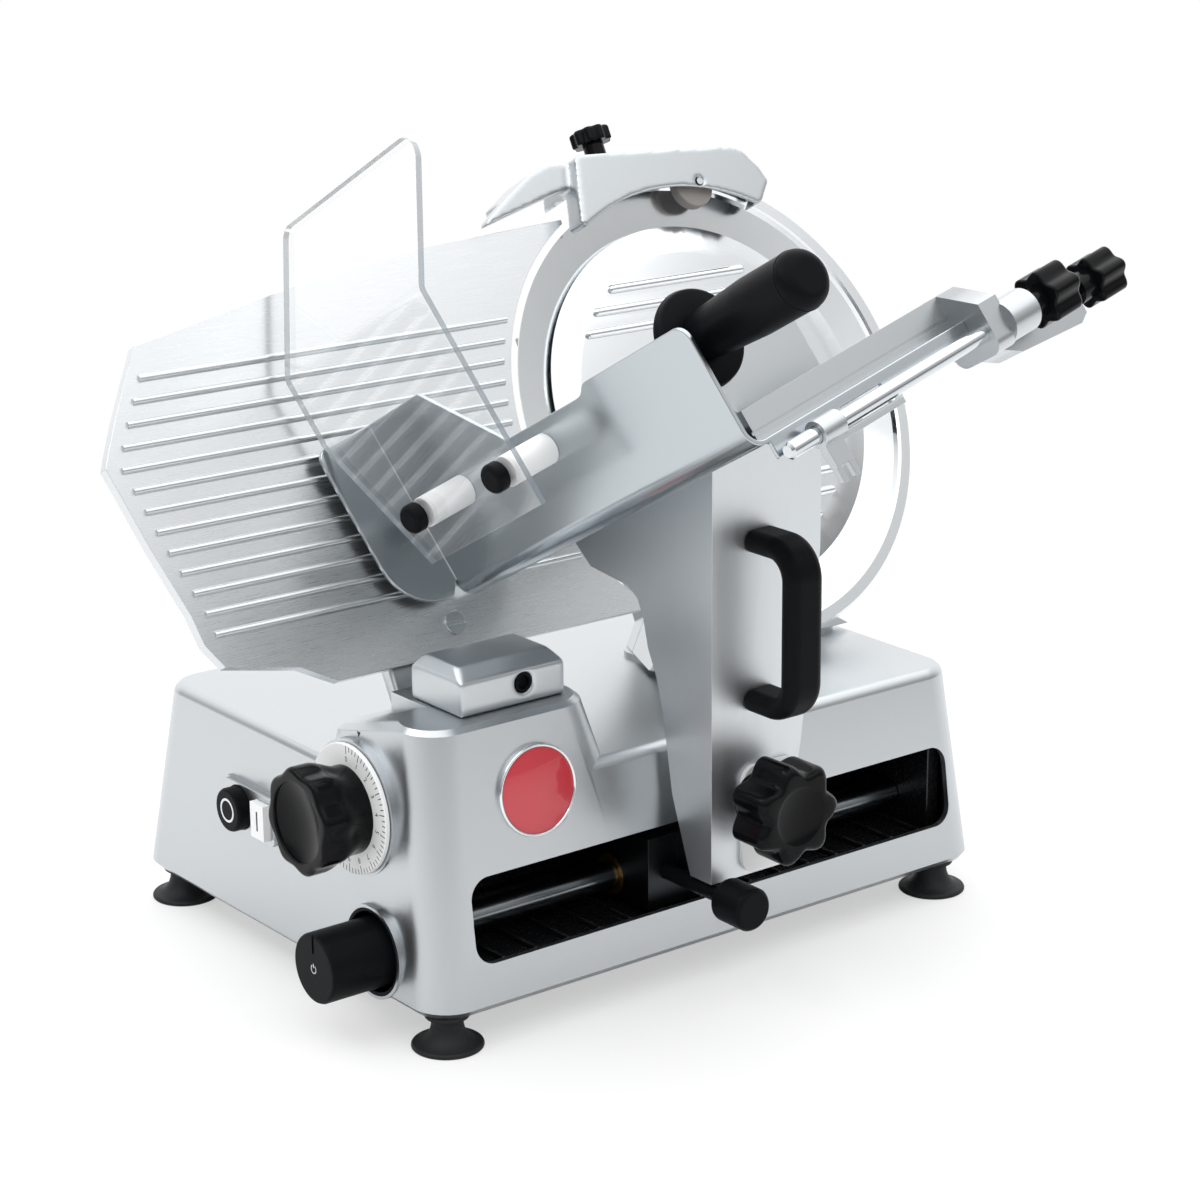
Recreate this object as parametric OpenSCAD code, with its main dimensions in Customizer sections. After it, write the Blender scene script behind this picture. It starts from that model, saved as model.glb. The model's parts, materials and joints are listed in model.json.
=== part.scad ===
// Gravity feed food slicer with a tilted round blade, in millimetres.
// The feet stand on z = 0, +X is the carriage stroke to the right, -Y faces the operator.

/* [Base] */
// Front wall from the middle of the feet, at the bottom
base_front = 168; // [164:1:172]
// Back wall from the middle of the feet, at the bottom
base_back = 177; // [170:1:188]
// Left wall from the middle of the feet, at the bottom
base_left = 214; // [211:1:217]
// Right wall from the middle of the feet, at the bottom
base_right = 222; // [218:1:232]
// Underside of the pan
base_z = 22; // [18:1:25]
// Joint between pan and cover
parting_z = 76.5; // [73:0.5:80]
// Top of the deck
deck_z = 152; // [150:0.5:154]
// Wall thickness of pan and cover
base_wall = 4; // [3:0.5:5]
// Upright corner radius
base_r = 24; // [18:1:28]
// Lean of the front wall, mm per mm of height
draft_front = 0.14; // [0.12:0.01:0.15]
// Lean of the back wall, mm per mm of height
draft_back = 0.2; // [0.1:0.01:0.24]
// Lean of the side walls, mm per mm of height
draft_side = 0.07; // [0.05:0.01:0.09]
// Rounded edge of the deck
deck_r = 6; // [3:0.5:9]
// Rounded lower edge of the pan
pan_r = 4; // [2:0.5:6]
// Top of the control box along the front wall
box_z = 191; // [188:0.5:193]
// Top of the control box along its back edge
box_back_z = 176; // [172:1:180]
// Right edge of the control box top
box_right = -80; // [-86:1:-76]
// Foot of the sloping right side of the control box
box_right_foot = -46; // [-56:1:-40]
// Back edge of the control box top
box_back = -50; // [-56:1:-46]
// Foot of the sloping back of the control box
box_back_foot = -22; // [-30:1:-16]
// Upright corner radius of the box where it stands inside the deck
box_r = 10; // [8:1:14]
// How far the box stands proud of the walls below it
box_proud = 0.3; // [0.2:0.1:0.6]
// Width of the front slot
slot_w = 379; // [376:1:384]
// Middle of the front slot
slot_x = 7.5; // [6:0.5:9]
// Lower edge of the front slot
slot_z0 = 50; // [48:1:54]
// Upper edge of the front slot
slot_z1 = 102; // [99:1:103]
// Corner radius of the front slot
slot_r = 13; // [8:1:16]

/* [Feet] */
// Half the distance between left and right feet
foot_x = 195; // [185:1:196]
// Half the distance between front and back feet
foot_y = 150; // [140:1:152]
// Rim radius of a foot
foot_r = 21.7; // [18:0.1:24]
// Neck radius of a foot
foot_neck_r = 9.5; // [7:0.5:12]

/* [Chamber] */
// Top of the chamber floor
chamber_z = 40; // [38:0.5:41]
// Back of the chamber
chamber_back = -68; // [-70:1:-66]
// Wall of the chamber
chamber_wall = 4; // [3:0.5:5]
// Left end of the chamber
chamber_x0 = -195; // [-195:1:-193]
// Right end of the chamber
chamber_x1 = 201; // [199:1:205]
// Thickness of the chamber ends that hold the guide rod
chamber_end = 10; // [8:1:10]
// Height of the floor ribs
chamber_rib = 4; // [2:0.5:4.5]
// Distance between floor ribs
chamber_pitch = 24; // [18:1:30]
// Radius of the guide rod
rod_r = 9; // [7:0.5:10]
// Guide rod from the middle of the feet
rod_y = -112; // [-114:1:-110]
// Guide rod above the floor
rod_z = 58; // [57:0.5:59]
// Width and height of the square support rail
rail_w = 12; // [10:1:13]
// Front of the support rail
rail_y = -88; // [-89:1:-87]

/* [Blade] */
// Blade radius
blade_r = 150; // [147:0.5:151]
// Blade centre, from the middle of the feet to the right
blade_x = 138.8; // [134:0.2:142]
// Blade centre, from the middle of the feet to the back
blade_y = 8.9; // [7:0.1:11]
// Blade centre above the floor
blade_z = 307.2; // [304:0.2:310]
// Lean of the blade from upright, degrees
tilt = 28.37; // [28.2:0.01:28.6]
// Thickness of the blade at its hub
blade_t = 5; // [4:0.5:6]
// Radius of the fixed cover in front of the blade
cover_r = 124.5; // [118:0.5:128]
// Front of the cover
cover_n = 4; // [3:0.1:4.2]
// Radius of the grip ribs on the cover
cover_rib_r = 3; // [2:0.1:3.2]
// Distance between the grip ribs
cover_rib_pitch = 13.7; // [11:0.1:15]
// Distance of the first grip rib from the middle
cover_rib_s = 59.3; // [54:0.1:64]
// Radial gap between blade and ring guard
ring_gap = 2.5; // [2:0.1:4]
// Radial width of the ring guard
ring_w = 11; // [9:0.5:13]
// Front of the ring guard
ring_n = 3; // [2:0.5:4]
// Angle where the ring guard starts at the top, degrees
ring_a0 = 105; // [100:1:106]
// Angle where the ring guard ends at the bottom left, degrees
ring_a1 = 238; // [237:1:244]
// Width of the ring guard's spokes
spoke_w = 22; // [16:1:26]

/* [Drive] */
// Front of the drive housing behind the blade
housing_n = 24; // [23:0.5:24.5]
// Radius of the drive housing round the shaft
housing_r = 62; // [58:1:66]
// Seat of the drive housing above the floor
housing_z = 155; // [154:0.5:157]
// Radius of the blade shaft
shaft_r = 15; // [13:0.5:16]
// Outer radius of the shaft bearings
bearing_r = 26; // [24:0.5:28]
// Radius of the blade pulley
pulley_r = 44; // [38:1:45]
// Radius of the motor pulley
motor_pulley_r = 18; // [14:1:20]
// Distance between the pulleys
belt_c = 194; // [190:1:196]
// Thickness of the belt
belt_t = 2.7; // [2:0.1:3]
// Width of the belt
belt_w = 8; // [6:0.5:9]
// Radius of the motor
motor_r = 36; // [30:1:38]
// Length of the motor
motor_len = 80; // [60:1:90]
// Radius of the tie rod that holds the cover
tie_r = 5; // [4:0.5:5.5]
// Radius of the knob on the tie rod
tie_knob_r = 18; // [15:1:24]

/* [Gauge] */
// Leftmost point of the gauge plate from the blade's middle
gauge_left = 444.8; // [442:0.2:447]
// Bottom edge of the gauge plate below the blade's middle
gauge_bottom = 122; // [120:1:124]
// Top edge of the gauge plate beside the blade
gauge_top = 139; // [136:0.5:139.5]
// Thickness of the gauge plate
gauge_t = 8; // [6:0.5:9]
// Radial gap between blade and gauge plate
gauge_cut_gap = 5; // [4:0.5:8]
// Radius of the ribs on the gauge plate
gauge_rib_r = 2.2; // [1.6:0.1:2.6]
// Distance between the ribs
gauge_pitch = 13.2; // [12:0.1:14]
// Height of the top rib above the blade's middle
gauge_rib_s = 79; // [76:0.5:82]
// Number of ribs
gauge_ribs = 13; // [11:1:13]
// Travel of the gauge plate
gauge_travel = 15; // [10:0.5:15]
// Left side of the gauge block
block_x0 = -167; // [-170:1:-164]
// Width of the gauge block
block_w = 76; // [70:1:80]
// Front of the gauge block
block_y0 = -131; // [-133:0.5:-130]
// Depth of the gauge block
block_d = 52; // [46:1:58]
// Height of the gauge block
block_h = 28; // [26:0.5:30]
// Bevel of the gauge block's top edges
block_bevel = 7; // [4:0.5:9]
// Radius of the plugged hole in the gauge block
block_hole_r = 6; // [5:0.5:7]
// Width of the tongue that slides in the gauge block
tongue_w = 40; // [32:1:44]
// Height of the tongue
tongue_h = 16; // [12:0.5:17]

/* [Controls] */
// Dial axis from the middle of the feet
dial_y = -78; // [-80:1:-76]
// Dial axis above the floor
dial_z = 131; // [128:1:133]
// Radius of the graduated disc
dial_r = 40; // [36:0.5:41]
// Thickness of the graduated disc
dial_t = 3.2; // [2.5:0.1:4]
// Radius of the dial knob
dial_knob_r = 33; // [28:0.5:35]
// Length of the dial knob
dial_knob_len = 36; // [28:1:40]
// Number of grip flats on the dial knob
dial_flats = 8; // [6:1:12]
// Radius of the dial shaft
dial_shaft_r = 7; // [5:0.5:8]
// Stop button axis from the middle of the feet
stop_y = 46; // [44:1:50]
// Height of both buttons above the floor
button_z = 96; // [94:1:98]
// Radius of the stop button
stop_r = 14; // [11:0.5:15]
// Start button axis from the middle of the feet
start_y = 17.5; // [15:0.5:20]
// Width of the start button
start_w = 15; // [12:0.5:18]
// Height of the start button
start_h = 23; // [18:0.5:25]
// Length of the stop button outside its plate
stop_out = 9; // [7:0.5:12]
// Length of the start button outside its plate
start_out = 5; // [4.5:0.5:8]
// Travel of both buttons
button_travel = 3.5; // [2.5:0.1:4]
// Selector knob axis from the middle of the feet
selector_y = -101; // [-104:1:-98]
// Selector knob axis above the floor
selector_z = 48; // [47:0.5:52]
// Radius of the selector knob
selector_r = 21.5; // [18:0.5:22]
// Outer end of the selector knob from the middle of the feet
selector_end = 255; // [245:1:262]
// Badge on the front wall, from the middle of the feet
badge_x = -128.6; // [-140:0.2:-115]
// Badge above the floor
badge_z = 144.5; // [138:0.5:150]
// Radius of the badge
badge_r = 28; // [22:0.5:31]
// Cord gland from the middle of the feet
gland_x = 150; // [120:1:170]
// Cord gland above the floor
gland_z = 48; // [46:0.5:52]
// Radius of the cord gland
gland_r = 11; // [8:0.5:13]

/* [Carriage] */
// Front of the leg from the middle of the feet
leg_y = -198; // [-200:0.5:-197]
// Left side of the leg
leg_x = -34; // [-36:0.5:-32]
// Sheet thickness of the leg
leg_t = 4; // [3:0.5:5]
// Bottom of the leg
leg_z = 75; // [74:0.5:78]
// Width of the leg at the tray
leg_top_w = 84; // [76:1:88]
// Width of the leg at the bottom
leg_foot_w = 56; // [56:1:62]
// Grip of the D handle in front of the leg
grip_out = 37; // [32:0.5:42]
// Height of the D handle's lower arm above the floor
grip_z0 = 186; // [182:1:190]
// Distance between the arms of the D handle
grip_len = 98; // [90:1:102]
// Width of the D handle
grip_w = 26; // [20:1:28]
// Thickness of the D handle
grip_t = 14; // [10:0.5:16]
// Middle of the D handle
grip_x = 3; // [-2:0.5:6]
// Middle of the star knob
star_x = -3; // [-5:0.5:-1]
// Height of the star knob above the floor
star_z = 125; // [123:0.5:128]
// Radius of the star knob
star_r = 32; // [26:0.5:33]
// Thickness of the star knob
star_t = 30; // [22:1:34]
// Coupling pin from the middle of the feet
pin_x = -29; // [-30:0.5:-28.5]
// Coupling pin above the floor
pin_z = 68; // [67.5:0.5:68.5]
// Radius of the coupling pin
pin_r = 5; // [4:0.5:5]
// Pull of the coupling pin
pin_pull = 12; // [8:1:14]

/* [Tray] */
// Lean of the tray wall to the left, degrees
lean = 15; // [14:0.1:16]
// Corner of the tray left of the blade's middle
tray_u = -239.8; // [-244:0.2:-236]
// Corner of the tray below the blade's middle
tray_s = -90; // [-92:0.5:-88]
// Sheet thickness of the tray
sheet_t = 3; // [2:0.2:3.4]
// Outer radius of the bend
bend_r = 12; // [9:0.5:14]
// Near face of the tray in front of the blade plane
tray_n0 = 8.5; // [8.5:0.1:9.5]
// Far end of the tray in front of the blade plane
tray_n1 = 314; // [308:1:320]
// Length of the tray floor
tray_w = 183; // [176:1:190]
// High part of the tray wall
wall_h = 119; // [112:1:124]
// Low part of the tray wall
wall_low = 69; // [66:0.5:72]
// Step of the tray wall near its end
wall_step = 6; // [3:0.5:8]
// Width of the end flange
flange_w = 43; // [36:1:46]
// Height of the front lip below the floor
lip_h = 10; // [7:0.5:11]

/* [Guard] */
// Distance of the guard sheet from the tray wall
guard_gap = 34; // [28:0.5:38]
// Thickness of the guard sheet
guard_t = 4; // [3:0.2:5]
// Lower edge of the guard sheet
guard_h0 = 27; // [24:1:32]
// Bend of the guard sheet
guard_h1 = 165; // [155:1:170]
// Length of the guard above its bend
guard_up = 98; // [80:1:104]
// Bend angle of the guard sheet, degrees
guard_bend = 33; // [28:0.5:36]
// Outer end of the guard sheet in front of the blade plane
guard_n1 = 177; // [168:1:182]
// Radius of the standoffs
standoff_r = 9.5; // [7:0.5:11]

/* [Pusher] */
// Radius of the pusher's guide rod
push_rod_r = 6; // [5:0.5:7]
// Pusher handle from the tray wall
push_p = 37.5; // [36:0.5:39]
// Pusher handle above the tray floor
push_h = 64; // [62:0.5:68]
// Radius of the pusher handle
push_r = 17; // [14:0.5:18]
// Length of the pusher handle
push_len = 97; // [85:1:105]
// Radius of the hand guard
hand_r = 29; // [24:0.5:30]
// Width of the toothed plate
plate_w = 124; // [100:1:130]
// Stroke of the pusher towards the blade
push_stroke = 184; // [150:1:184]

/* [Front rail] */
// Radius of the cross rod
cross_r = 5; // [4:0.2:5.4]
// Cross rod below the tray floor
cross_h = 12; // [11:0.5:14]
// Height of the front rail
front_rail_h = 19; // [16:0.5:22]
// Radius of the small star knobs
small_star_r = 17.5; // [14:0.5:19]

/* [Sharpener] */
// Top of the hood above the blade's edge
hood_over = 25; // [24:0.5:28]
// Half depth of the hood across the blade
hood_n = 22; // [21:0.5:24]
// Wall of the hood
hood_wall = 4; // [3:0.5:4.5]
// Left end of the hood from the blade's middle
hood_u0 = -64; // [-68:1:-60]
// Right end of the hood from the blade's middle
hood_u1 = 88; // [80:1:92]
// Sharpener knob from the blade's middle
sharp_u = -26; // [-30:0.5:-24]
// Radius of the sharpener knob
sharp_knob_r = 13.7; // [11:0.1:15]
// Radius of the front stone
stone_r = 15; // [11:0.5:16]
// Lift of the sharpener
sharp_lift = 10; // [6:0.5:11]

/* [Hidden] */
// Radial clearance of shafts, pins and bushes
fit = 0.05;
// Gap between faces that pass each other
gap = 0.3;
// Overlap of unions and depth past cut faces
lap = 1;
// Reach of cutting blocks past the whole part
beyond = 600;
// Small step where the straight runs of the belt meet its round ends
trim = 0.05;
slab = 0.2;
hull_fn = 32;
$fn = 64;

function wall_left(z) = base_left - draft_side * (z - base_z);
function wall_right(z) = base_right - draft_side * (z - base_z);
function wall_front(z) = base_front - draft_front * (z - base_z);
function wall_back(z) = base_back - draft_back * (z - base_z);

// Right side and back of the control box at one height
function box_side(z) = box_right + (box_right_foot - box_right) * (box_z - z) / (box_z - parting_z);
function box_rear(z) = box_back + (box_back_foot - box_back) * (box_back_z - z) / (box_back_z - parting_z);

// Angle of the front wall's lean
front_lean = atan(draft_front);
foot_collar_r = foot_neck_r + 4;

// Chamber
floor_z = base_z + base_wall;
chamber_top = slot_z1 + lap;
chamber_front = -wall_front(slot_z1) + base_wall + 5;
chamber_in0 = chamber_x0 + chamber_end;
chamber_in1 = chamber_x1 - chamber_end;
rib_w = 3;
rib_back = rail_y - 2;

// Blade stack along its axis
blade_back = -2 * blade_t;
edge_t = 0.8;
bevel_w = 8;
cover_back = -3;
ring_r0 = blade_r + ring_gap;
ring_r1 = ring_r0 + ring_w;
ring_back = -14;
// Angles of the ring guard's spokes
spokes = [60, -10, -80];
flange_r = 38;
flange_n = blade_back - 6;
hub_r = 22;
boss_r = 10;
boss_bore = boss_r + 1;
boss_n = blade_back - 6;
bearing_w = 10;
front_bearing_n = -housing_n - 2;
cavity_n0 = front_bearing_n - bearing_w - 2;
pulley_n = cavity_n0 - 3;
pulley_w = belt_w + 2;
belt_n = pulley_n - lap;
cavity_n1 = pulley_n - pulley_w - 9;
back_cover_t = 12;
back_cover_n = cavity_n1 - back_cover_t;
rear_bearing_n = cavity_n1;
shaft_end = rear_bearing_n - bearing_w + lap;
mount_t = 6;
mount_w = 76;
motor_shaft_r = 6;
cavity_r = pulley_r + belt_t + 3;
cavity_w = mount_w / 2 + 3;
deck_hole_w = cavity_w * 2 + 4;
deck_hole_y0 = -42;
deck_hole_y1 = 4;
seat_x0 = 56;
seat_x1 = 206;
seat_y0 = -45;
seat_y1 = 8;
seat_r = 12;
tie_knob_t = 22;
deflector_t = 3;
deflector_s = -80;
deflector_h = 150;

// Gauge
gauge_cut_r = blade_r + gauge_cut_gap;
gauge_right = 81 - gauge_cut_r;
gauge_left_edge = [
  [-gauge_left + 38, -99], [-gauge_left + 29, -84], [-gauge_left + 26, -65],
  [-gauge_left + 13, -22], [-gauge_left + 6, 6], [-gauge_left, 29],
  [-gauge_left + 4, 37], [-gauge_left + 15, 57], [-gauge_left + 41, 99]];
gauge_outline = concat(
  [[-gauge_left + 109, -gauge_bottom], [-gauge_left + 86, -gauge_bottom + 13]],
  gauge_left_edge,
  [[-gauge_left + 165, gauge_top - 17], [-gauge_left + 262, gauge_top - 5],
   [gauge_right, gauge_top], [gauge_right, -gauge_bottom]]);
gauge_margin = 9;
gauge_rib_end_r = gauge_cut_r + 6;
arm_u = block_x0 + block_w / 2 - blade_x;
arm_t = 12;
arm_w = 56;
arm_top = -50;
tongue_s = -gauge_bottom - 32;
tongue_n = 48;
screw_u = -245.4;
screw_s = -103.7;
screw_r = 7.5;

// Controls on the left wall
dial_face = -wall_left(dial_z - dial_r) - 0.3;
dial_boss_r = dial_r + 2;
cam_x = -195;
cam_t = 6;
cam_r = 20;
plate_face = -wall_left(button_z - 16) - 0.3;
plate_t = 3;
plate_y0 = start_y - start_w / 2 - 4;
plate_y1 = stop_y + stop_r + 4;
plate_z0 = button_z - 16;
plate_z1 = button_z + 16;
button_in = button_travel + 10.5;
cup_r = selector_r + 5.5;
cup_wall = 2.5;
cup_x0 = -wall_left(selector_z - cup_r) - 0.2;
cup_x1 = -197;
cup_floor = 3;
selector_shaft_r = 8;
gland_boss_r = gland_r + 5;
gland_face = wall_back(gland_z - gland_boss_r);
gland_out = 10;
badge_t = 3;

// Carriage
slider_x0 = leg_x - 10;
slider_x1 = leg_x + 66;
slider_front = -150;
slider_back = rail_y - 6;
slider_z0 = chamber_z + chamber_rib + 2;
slider_z1 = 92;
bush_r = rod_r + 4;
bush_len = 20;
arm_x0 = pin_x + pin_r + 2;
arm_x1 = leg_x + leg_foot_w + 2;
arm_z0 = 66;
arm_z1 = 94;
foot_block_y = leg_y + 18;
foot_block_z1 = 150;
clamp_w = 44;
clamp_h = 68;
clamp_t = 3;
clamp_r = 10;
stud_r = 6;
hub_len = 12;
// Depth of a star grip's valleys, as a share of its radius
star_valley = 0.2;
roller_r = 11;
roller_w = 10;
axle_r = 4;
roller_z = chamber_z + rail_w + gap + roller_r;
roller_x = leg_x + 28;
cap_r = 13.5;
cap_len = 26;
cap_back = leg_y - 8;
pin_end = slider_front + pin_pull + 10;
grip_bend = 18;

// Tray
wall_slope_n0 = 71;
wall_slope_n1 = 126;
step_n1 = tray_n1 - 96;
step_n0 = step_n1 - 15;
corner_r = 10;
flange_r0 = 36;
flange_r1 = 8;
flange_h0 = 3;
flange_rise = 4;
lip_p0 = 14;

// Guard
guard_n0 = tray_n0 + 4;
guard_r = 22;
guard_near_r = 8;
guard_bend_r = 6;
guard_half = (guard_bend_r + guard_t / 2) * tan(guard_bend / 2);
guard_cut_n = 40;
guard_cut_h = 92;
// Length of the corner cut, with its run past both edges
guard_past = 1.1;
standoffs = [[56, guard_n0 + 53.5], [53, guard_n1 - 20]];
cap_t = 9;

// Pusher, between its rod's near block and the block at the front rail
front_rail_n = tray_n1 - 16;
push_rod_p = sheet_t + 11;
push_rod_h = 18;
rod_block_t = 10;
rod_block_h = 16;
rod_block_n0 = tray_n0 + 15.5;
rod_block_n1 = front_rail_n - rod_block_t - 4;
sleeve_r = 10;
sleeve_n0 = rod_block_n0 + rod_block_t + 4 + push_stroke;
sleeve_len = rod_block_n1 - sleeve_n0 - 2;
rib_h = 16;
plate_p0 = push_rod_p + sleeve_r + 2;
plate_h0 = 4;
plate_h = 56;
plate_thick = 5;
tooth_r = 3;
tooth_len = 7;
tooth_tip = 0.6;
tooth_edge = 10;
column_w = 23;
column_r = 11.5;
disc_t = 8;
disc_n = rod_block_n1 - disc_t - 2;
collar_t = 4;
collar_r = 10;
column_len = disc_n - collar_t - plate_thick - sleeve_n0;

// Front rail
front_rail_t = 6;
front_rail_p0 = 15;
groove_h = 5;
cross_n = tray_n1 + 8;
cross_p0 = 14;
cross_bevel = 1.5;
bracket_t = 16;
bracket_p1 = tray_w + bracket_t;
bracket_h0 = -26;
bracket_n0 = front_rail_n - 6;
bracket_n1 = cross_n + 8;
bracket_r = 8;
boss_len = 22;
bridge_h0 = -22;
bridge_h = 18;
boss_or = 13;
boss_p1 = bracket_p1 + boss_len;
clamp_n1 = front_rail_n;
clamp_n0 = clamp_n1 - 22;
clamp_p1 = bracket_p1 + 92;
clamp_axis_h = -20;
clamp_bore = 22;
clamp_gap = 10;
small_hub_r = 9.5;
small_hub_len = 12;
small_star_t = 24;
small_stud_r = 4;
claw_p0 = 37;
claw_w = 14;
strip_p1 = 104;

// Sharpener
hood_s = blade_r + hood_over;
hood_low = blade_r - 30;
hood_clear_r = ring_r1 + 2;
post_r = 9;
post_n = -5;
stem_r = 5;
stone_u = 30;
stone_s = blade_r - 4;
stone_t = 8;
stone_pin_r = 3;
stone_n0 = ring_n + 4;
rear_stone_r = 13;
rear_stone_u = 22;
rear_stone_s = blade_r + 2;
carrier_n = -hood_n;
carrier_u0 = 4;
carrier_u1 = 46;
carrier_s = rear_stone_s - 6;
beak_n0 = -16;
beak_n1 = 12;
beak_wall = 10;
arch_r = blade_r - 5;
hood_fall = 0.062;
function hood_top(u) = hood_s - hood_fall * (u - hood_u0);
post_s = hood_top(sharp_u + post_r) - hood_wall - gap;
// The stem keeps a hold in its post at the top of the lift
stem_hold = 4.3;
stem_s0 = post_s - sharp_lift - stem_hold;
knob_s = hood_top(sharp_u - stem_r - 2) + gap;

// Top edge of the beak from the hood outwards
beak_top = [[hood_u0 + lap, hood_s - 2], [hood_u0 - 16, hood_s - 1], [hood_u0 - 34, hood_s - 7],
            [hood_u0 - 56, hood_s - 20]];
// Tip and lower edge of the beak
beak_low = [[hood_u0 - 74, hood_s - 32], [hood_u0 - 77, hood_s - 36], [hood_u0 - 72, hood_s - 35],
            [hood_u0 - 40, hood_s - 27], [hood_u0 - 16, hood_s - 21], [hood_u0 + lap, hood_s - 18]];

// Where the middle of the whole outline lies
x_min = blade_x - gauge_left;
x_max = blade_x + ring_r1;
y_back = gland_face + gland_out;
handle_end_n = disc_n + disc_t + push_len;
handle_s = tray_s + push_p * sin(lean) + push_h * cos(lean);
end_r = 8;
y_front = blade_y + handle_s * sin(tilt) - (handle_end_n - end_r) * cos(tilt)
  - (push_r - end_r) * sin(tilt) - end_r;
origin_x = (x_min + x_max) / 2;
origin_y = (y_front + y_back) / 2;

// Frames of the row, the blade and the tray
module row_frame() {
  translate([-origin_x, -origin_y, 0]) children();
}

module blade_frame() {
  row_frame() translate([blade_x, blade_y, blade_z]) rotate([90 - tilt, 0, 0]) children();
}

module tray_frame() {
  blade_frame() translate([tray_u, tray_s, 0]) rotate([0, 0, lean]) children();
}

// Round bar along +X from a point
module bar_x(x, y, z, r, len) {
  translate([x, y, z]) rotate([0, 90, 0]) cylinder(r = r, h = len);
}

// Round bar along -Y from a point
module bar_y(x, y, z, r, len) {
  translate([x, y, z]) rotate([90, 0, 0]) cylinder(r = r, h = len);
}

// Flat outline in the plane across the tray, given thickness along the tray floor
module across_tray(p, t) {
  translate([p + t, 0, 0]) rotate([0, -90, 0]) linear_extrude(t) children();
}

// Rounded rectangle of four round corners
module round_rect(w, h, r) {
  translate([-w / 2 + r, -h / 2]) square([w - 2 * r, h]);
  translate([-w / 2, -h / 2 + r]) square([w, h - 2 * r]);
  for (sx = [-1, 1], sy = [-1, 1])
    translate([sx * (w / 2 - r), sy * (h / 2 - r)]) circle(r);
}

// Points of an arc
function arc(c, r, a0, a1, n = 8) =
  [for (i = [0:n]) let (a = a0 + (a1 - a0) * i / n) [c[0] + r * cos(a), c[1] + r * sin(a)]];

// Outline of the drafted base at one height
module level(z, inset, below) {
  for (c = [[-wall_left(z) + base_r, -wall_front(z) + base_r],
            [wall_right(z) - base_r, -wall_front(z) + base_r],
            [wall_right(z) - base_r, wall_back(z) - base_r],
            [-wall_left(z) + base_r, wall_back(z) - base_r]])
    translate([c[0], c[1], z - below * slab])
      cylinder(r = base_r - inset, h = slab, $fn = hull_fn);
}

// Upright corner stub of the control box
module box_corner(x, y, z, r) {
  translate([x, y, z - slab]) cylinder(r = r, h = slab, $fn = hull_fn);
}

// Control box, grown or shrunk by an inset
module box_solid(inset, foot) {
  r0 = base_r - inset;
  r1 = box_r - inset;
  cut = deck_r / 2;
  hull() {
    for (e = [0, 1]) {
      z0 = box_z - max(inset, 0) - cut * (1 - e);
      z1 = box_back_z - max(inset, 0) - cut * (1 - e);
      box_corner(-wall_left(z0) + base_r, -wall_front(z0) + base_r, z0, r0 - e * cut);
      box_corner(box_side(z0) - base_r, -wall_front(z0) + base_r, z0, r0 - e * cut);
      box_corner(box_side(z1) - box_r, box_rear(z1) - box_r, z1, r1 - e * cut);
      box_corner(-wall_left(z1) + box_r, box_rear(z1) - box_r, z1, r1 - e * cut);
    }
    box_corner(-wall_left(foot) + base_r, -wall_front(foot) + base_r, foot, r0);
    box_corner(box_side(foot) - base_r, -wall_front(foot) + base_r, foot, r0);
    box_corner(box_side(foot) - box_r, box_rear(foot) - box_r, foot, r1);
    box_corner(-wall_left(foot) + box_r, box_rear(foot) - box_r, foot, r1);
  }
}

// Front slot through pan and cover
module slot_cut() {
  translate([slot_x, -base_front - lap, (slot_z0 + slot_z1) / 2]) rotate([-90, 0, 0])
    linear_extrude(base_front + lap + chamber_front)
      round_rect(slot_w, slot_z1 - slot_z0, slot_r);
}

module base_pan() {
  color("#c9ced2") row_frame() difference() {
    union() {
      difference() {
        hull() {
          level(base_z, pan_r, 0);
          level(base_z + pan_r, 0, 0);
          level(parting_z, 0, 1);
        }
        hull() {
          level(floor_z, base_wall, 0);
          level(parting_z + lap, base_wall, 0);
        }
      }
      bar_y(gland_x, gland_face, gland_z, gland_boss_r, gland_face - wall_back(gland_z) + base_wall);
      bar_x(cup_x0, selector_y, selector_z, cup_r + 2, -wall_left(selector_z) + base_wall - cup_x0);
    }
    slot_cut();
    bar_x(cup_x0 - lap, selector_y, selector_z, cup_r + fit, cup_x1 - cup_x0 + lap);
    bar_y(gland_x, gland_face + lap, gland_z, gland_r - 3, 4 * base_wall + gland_boss_r);
    translate([-base_left - cup_r, -base_front, parting_z])
      cube([base_left + base_right + cup_r, base_front + base_back, deck_z]);
  }
}

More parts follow.
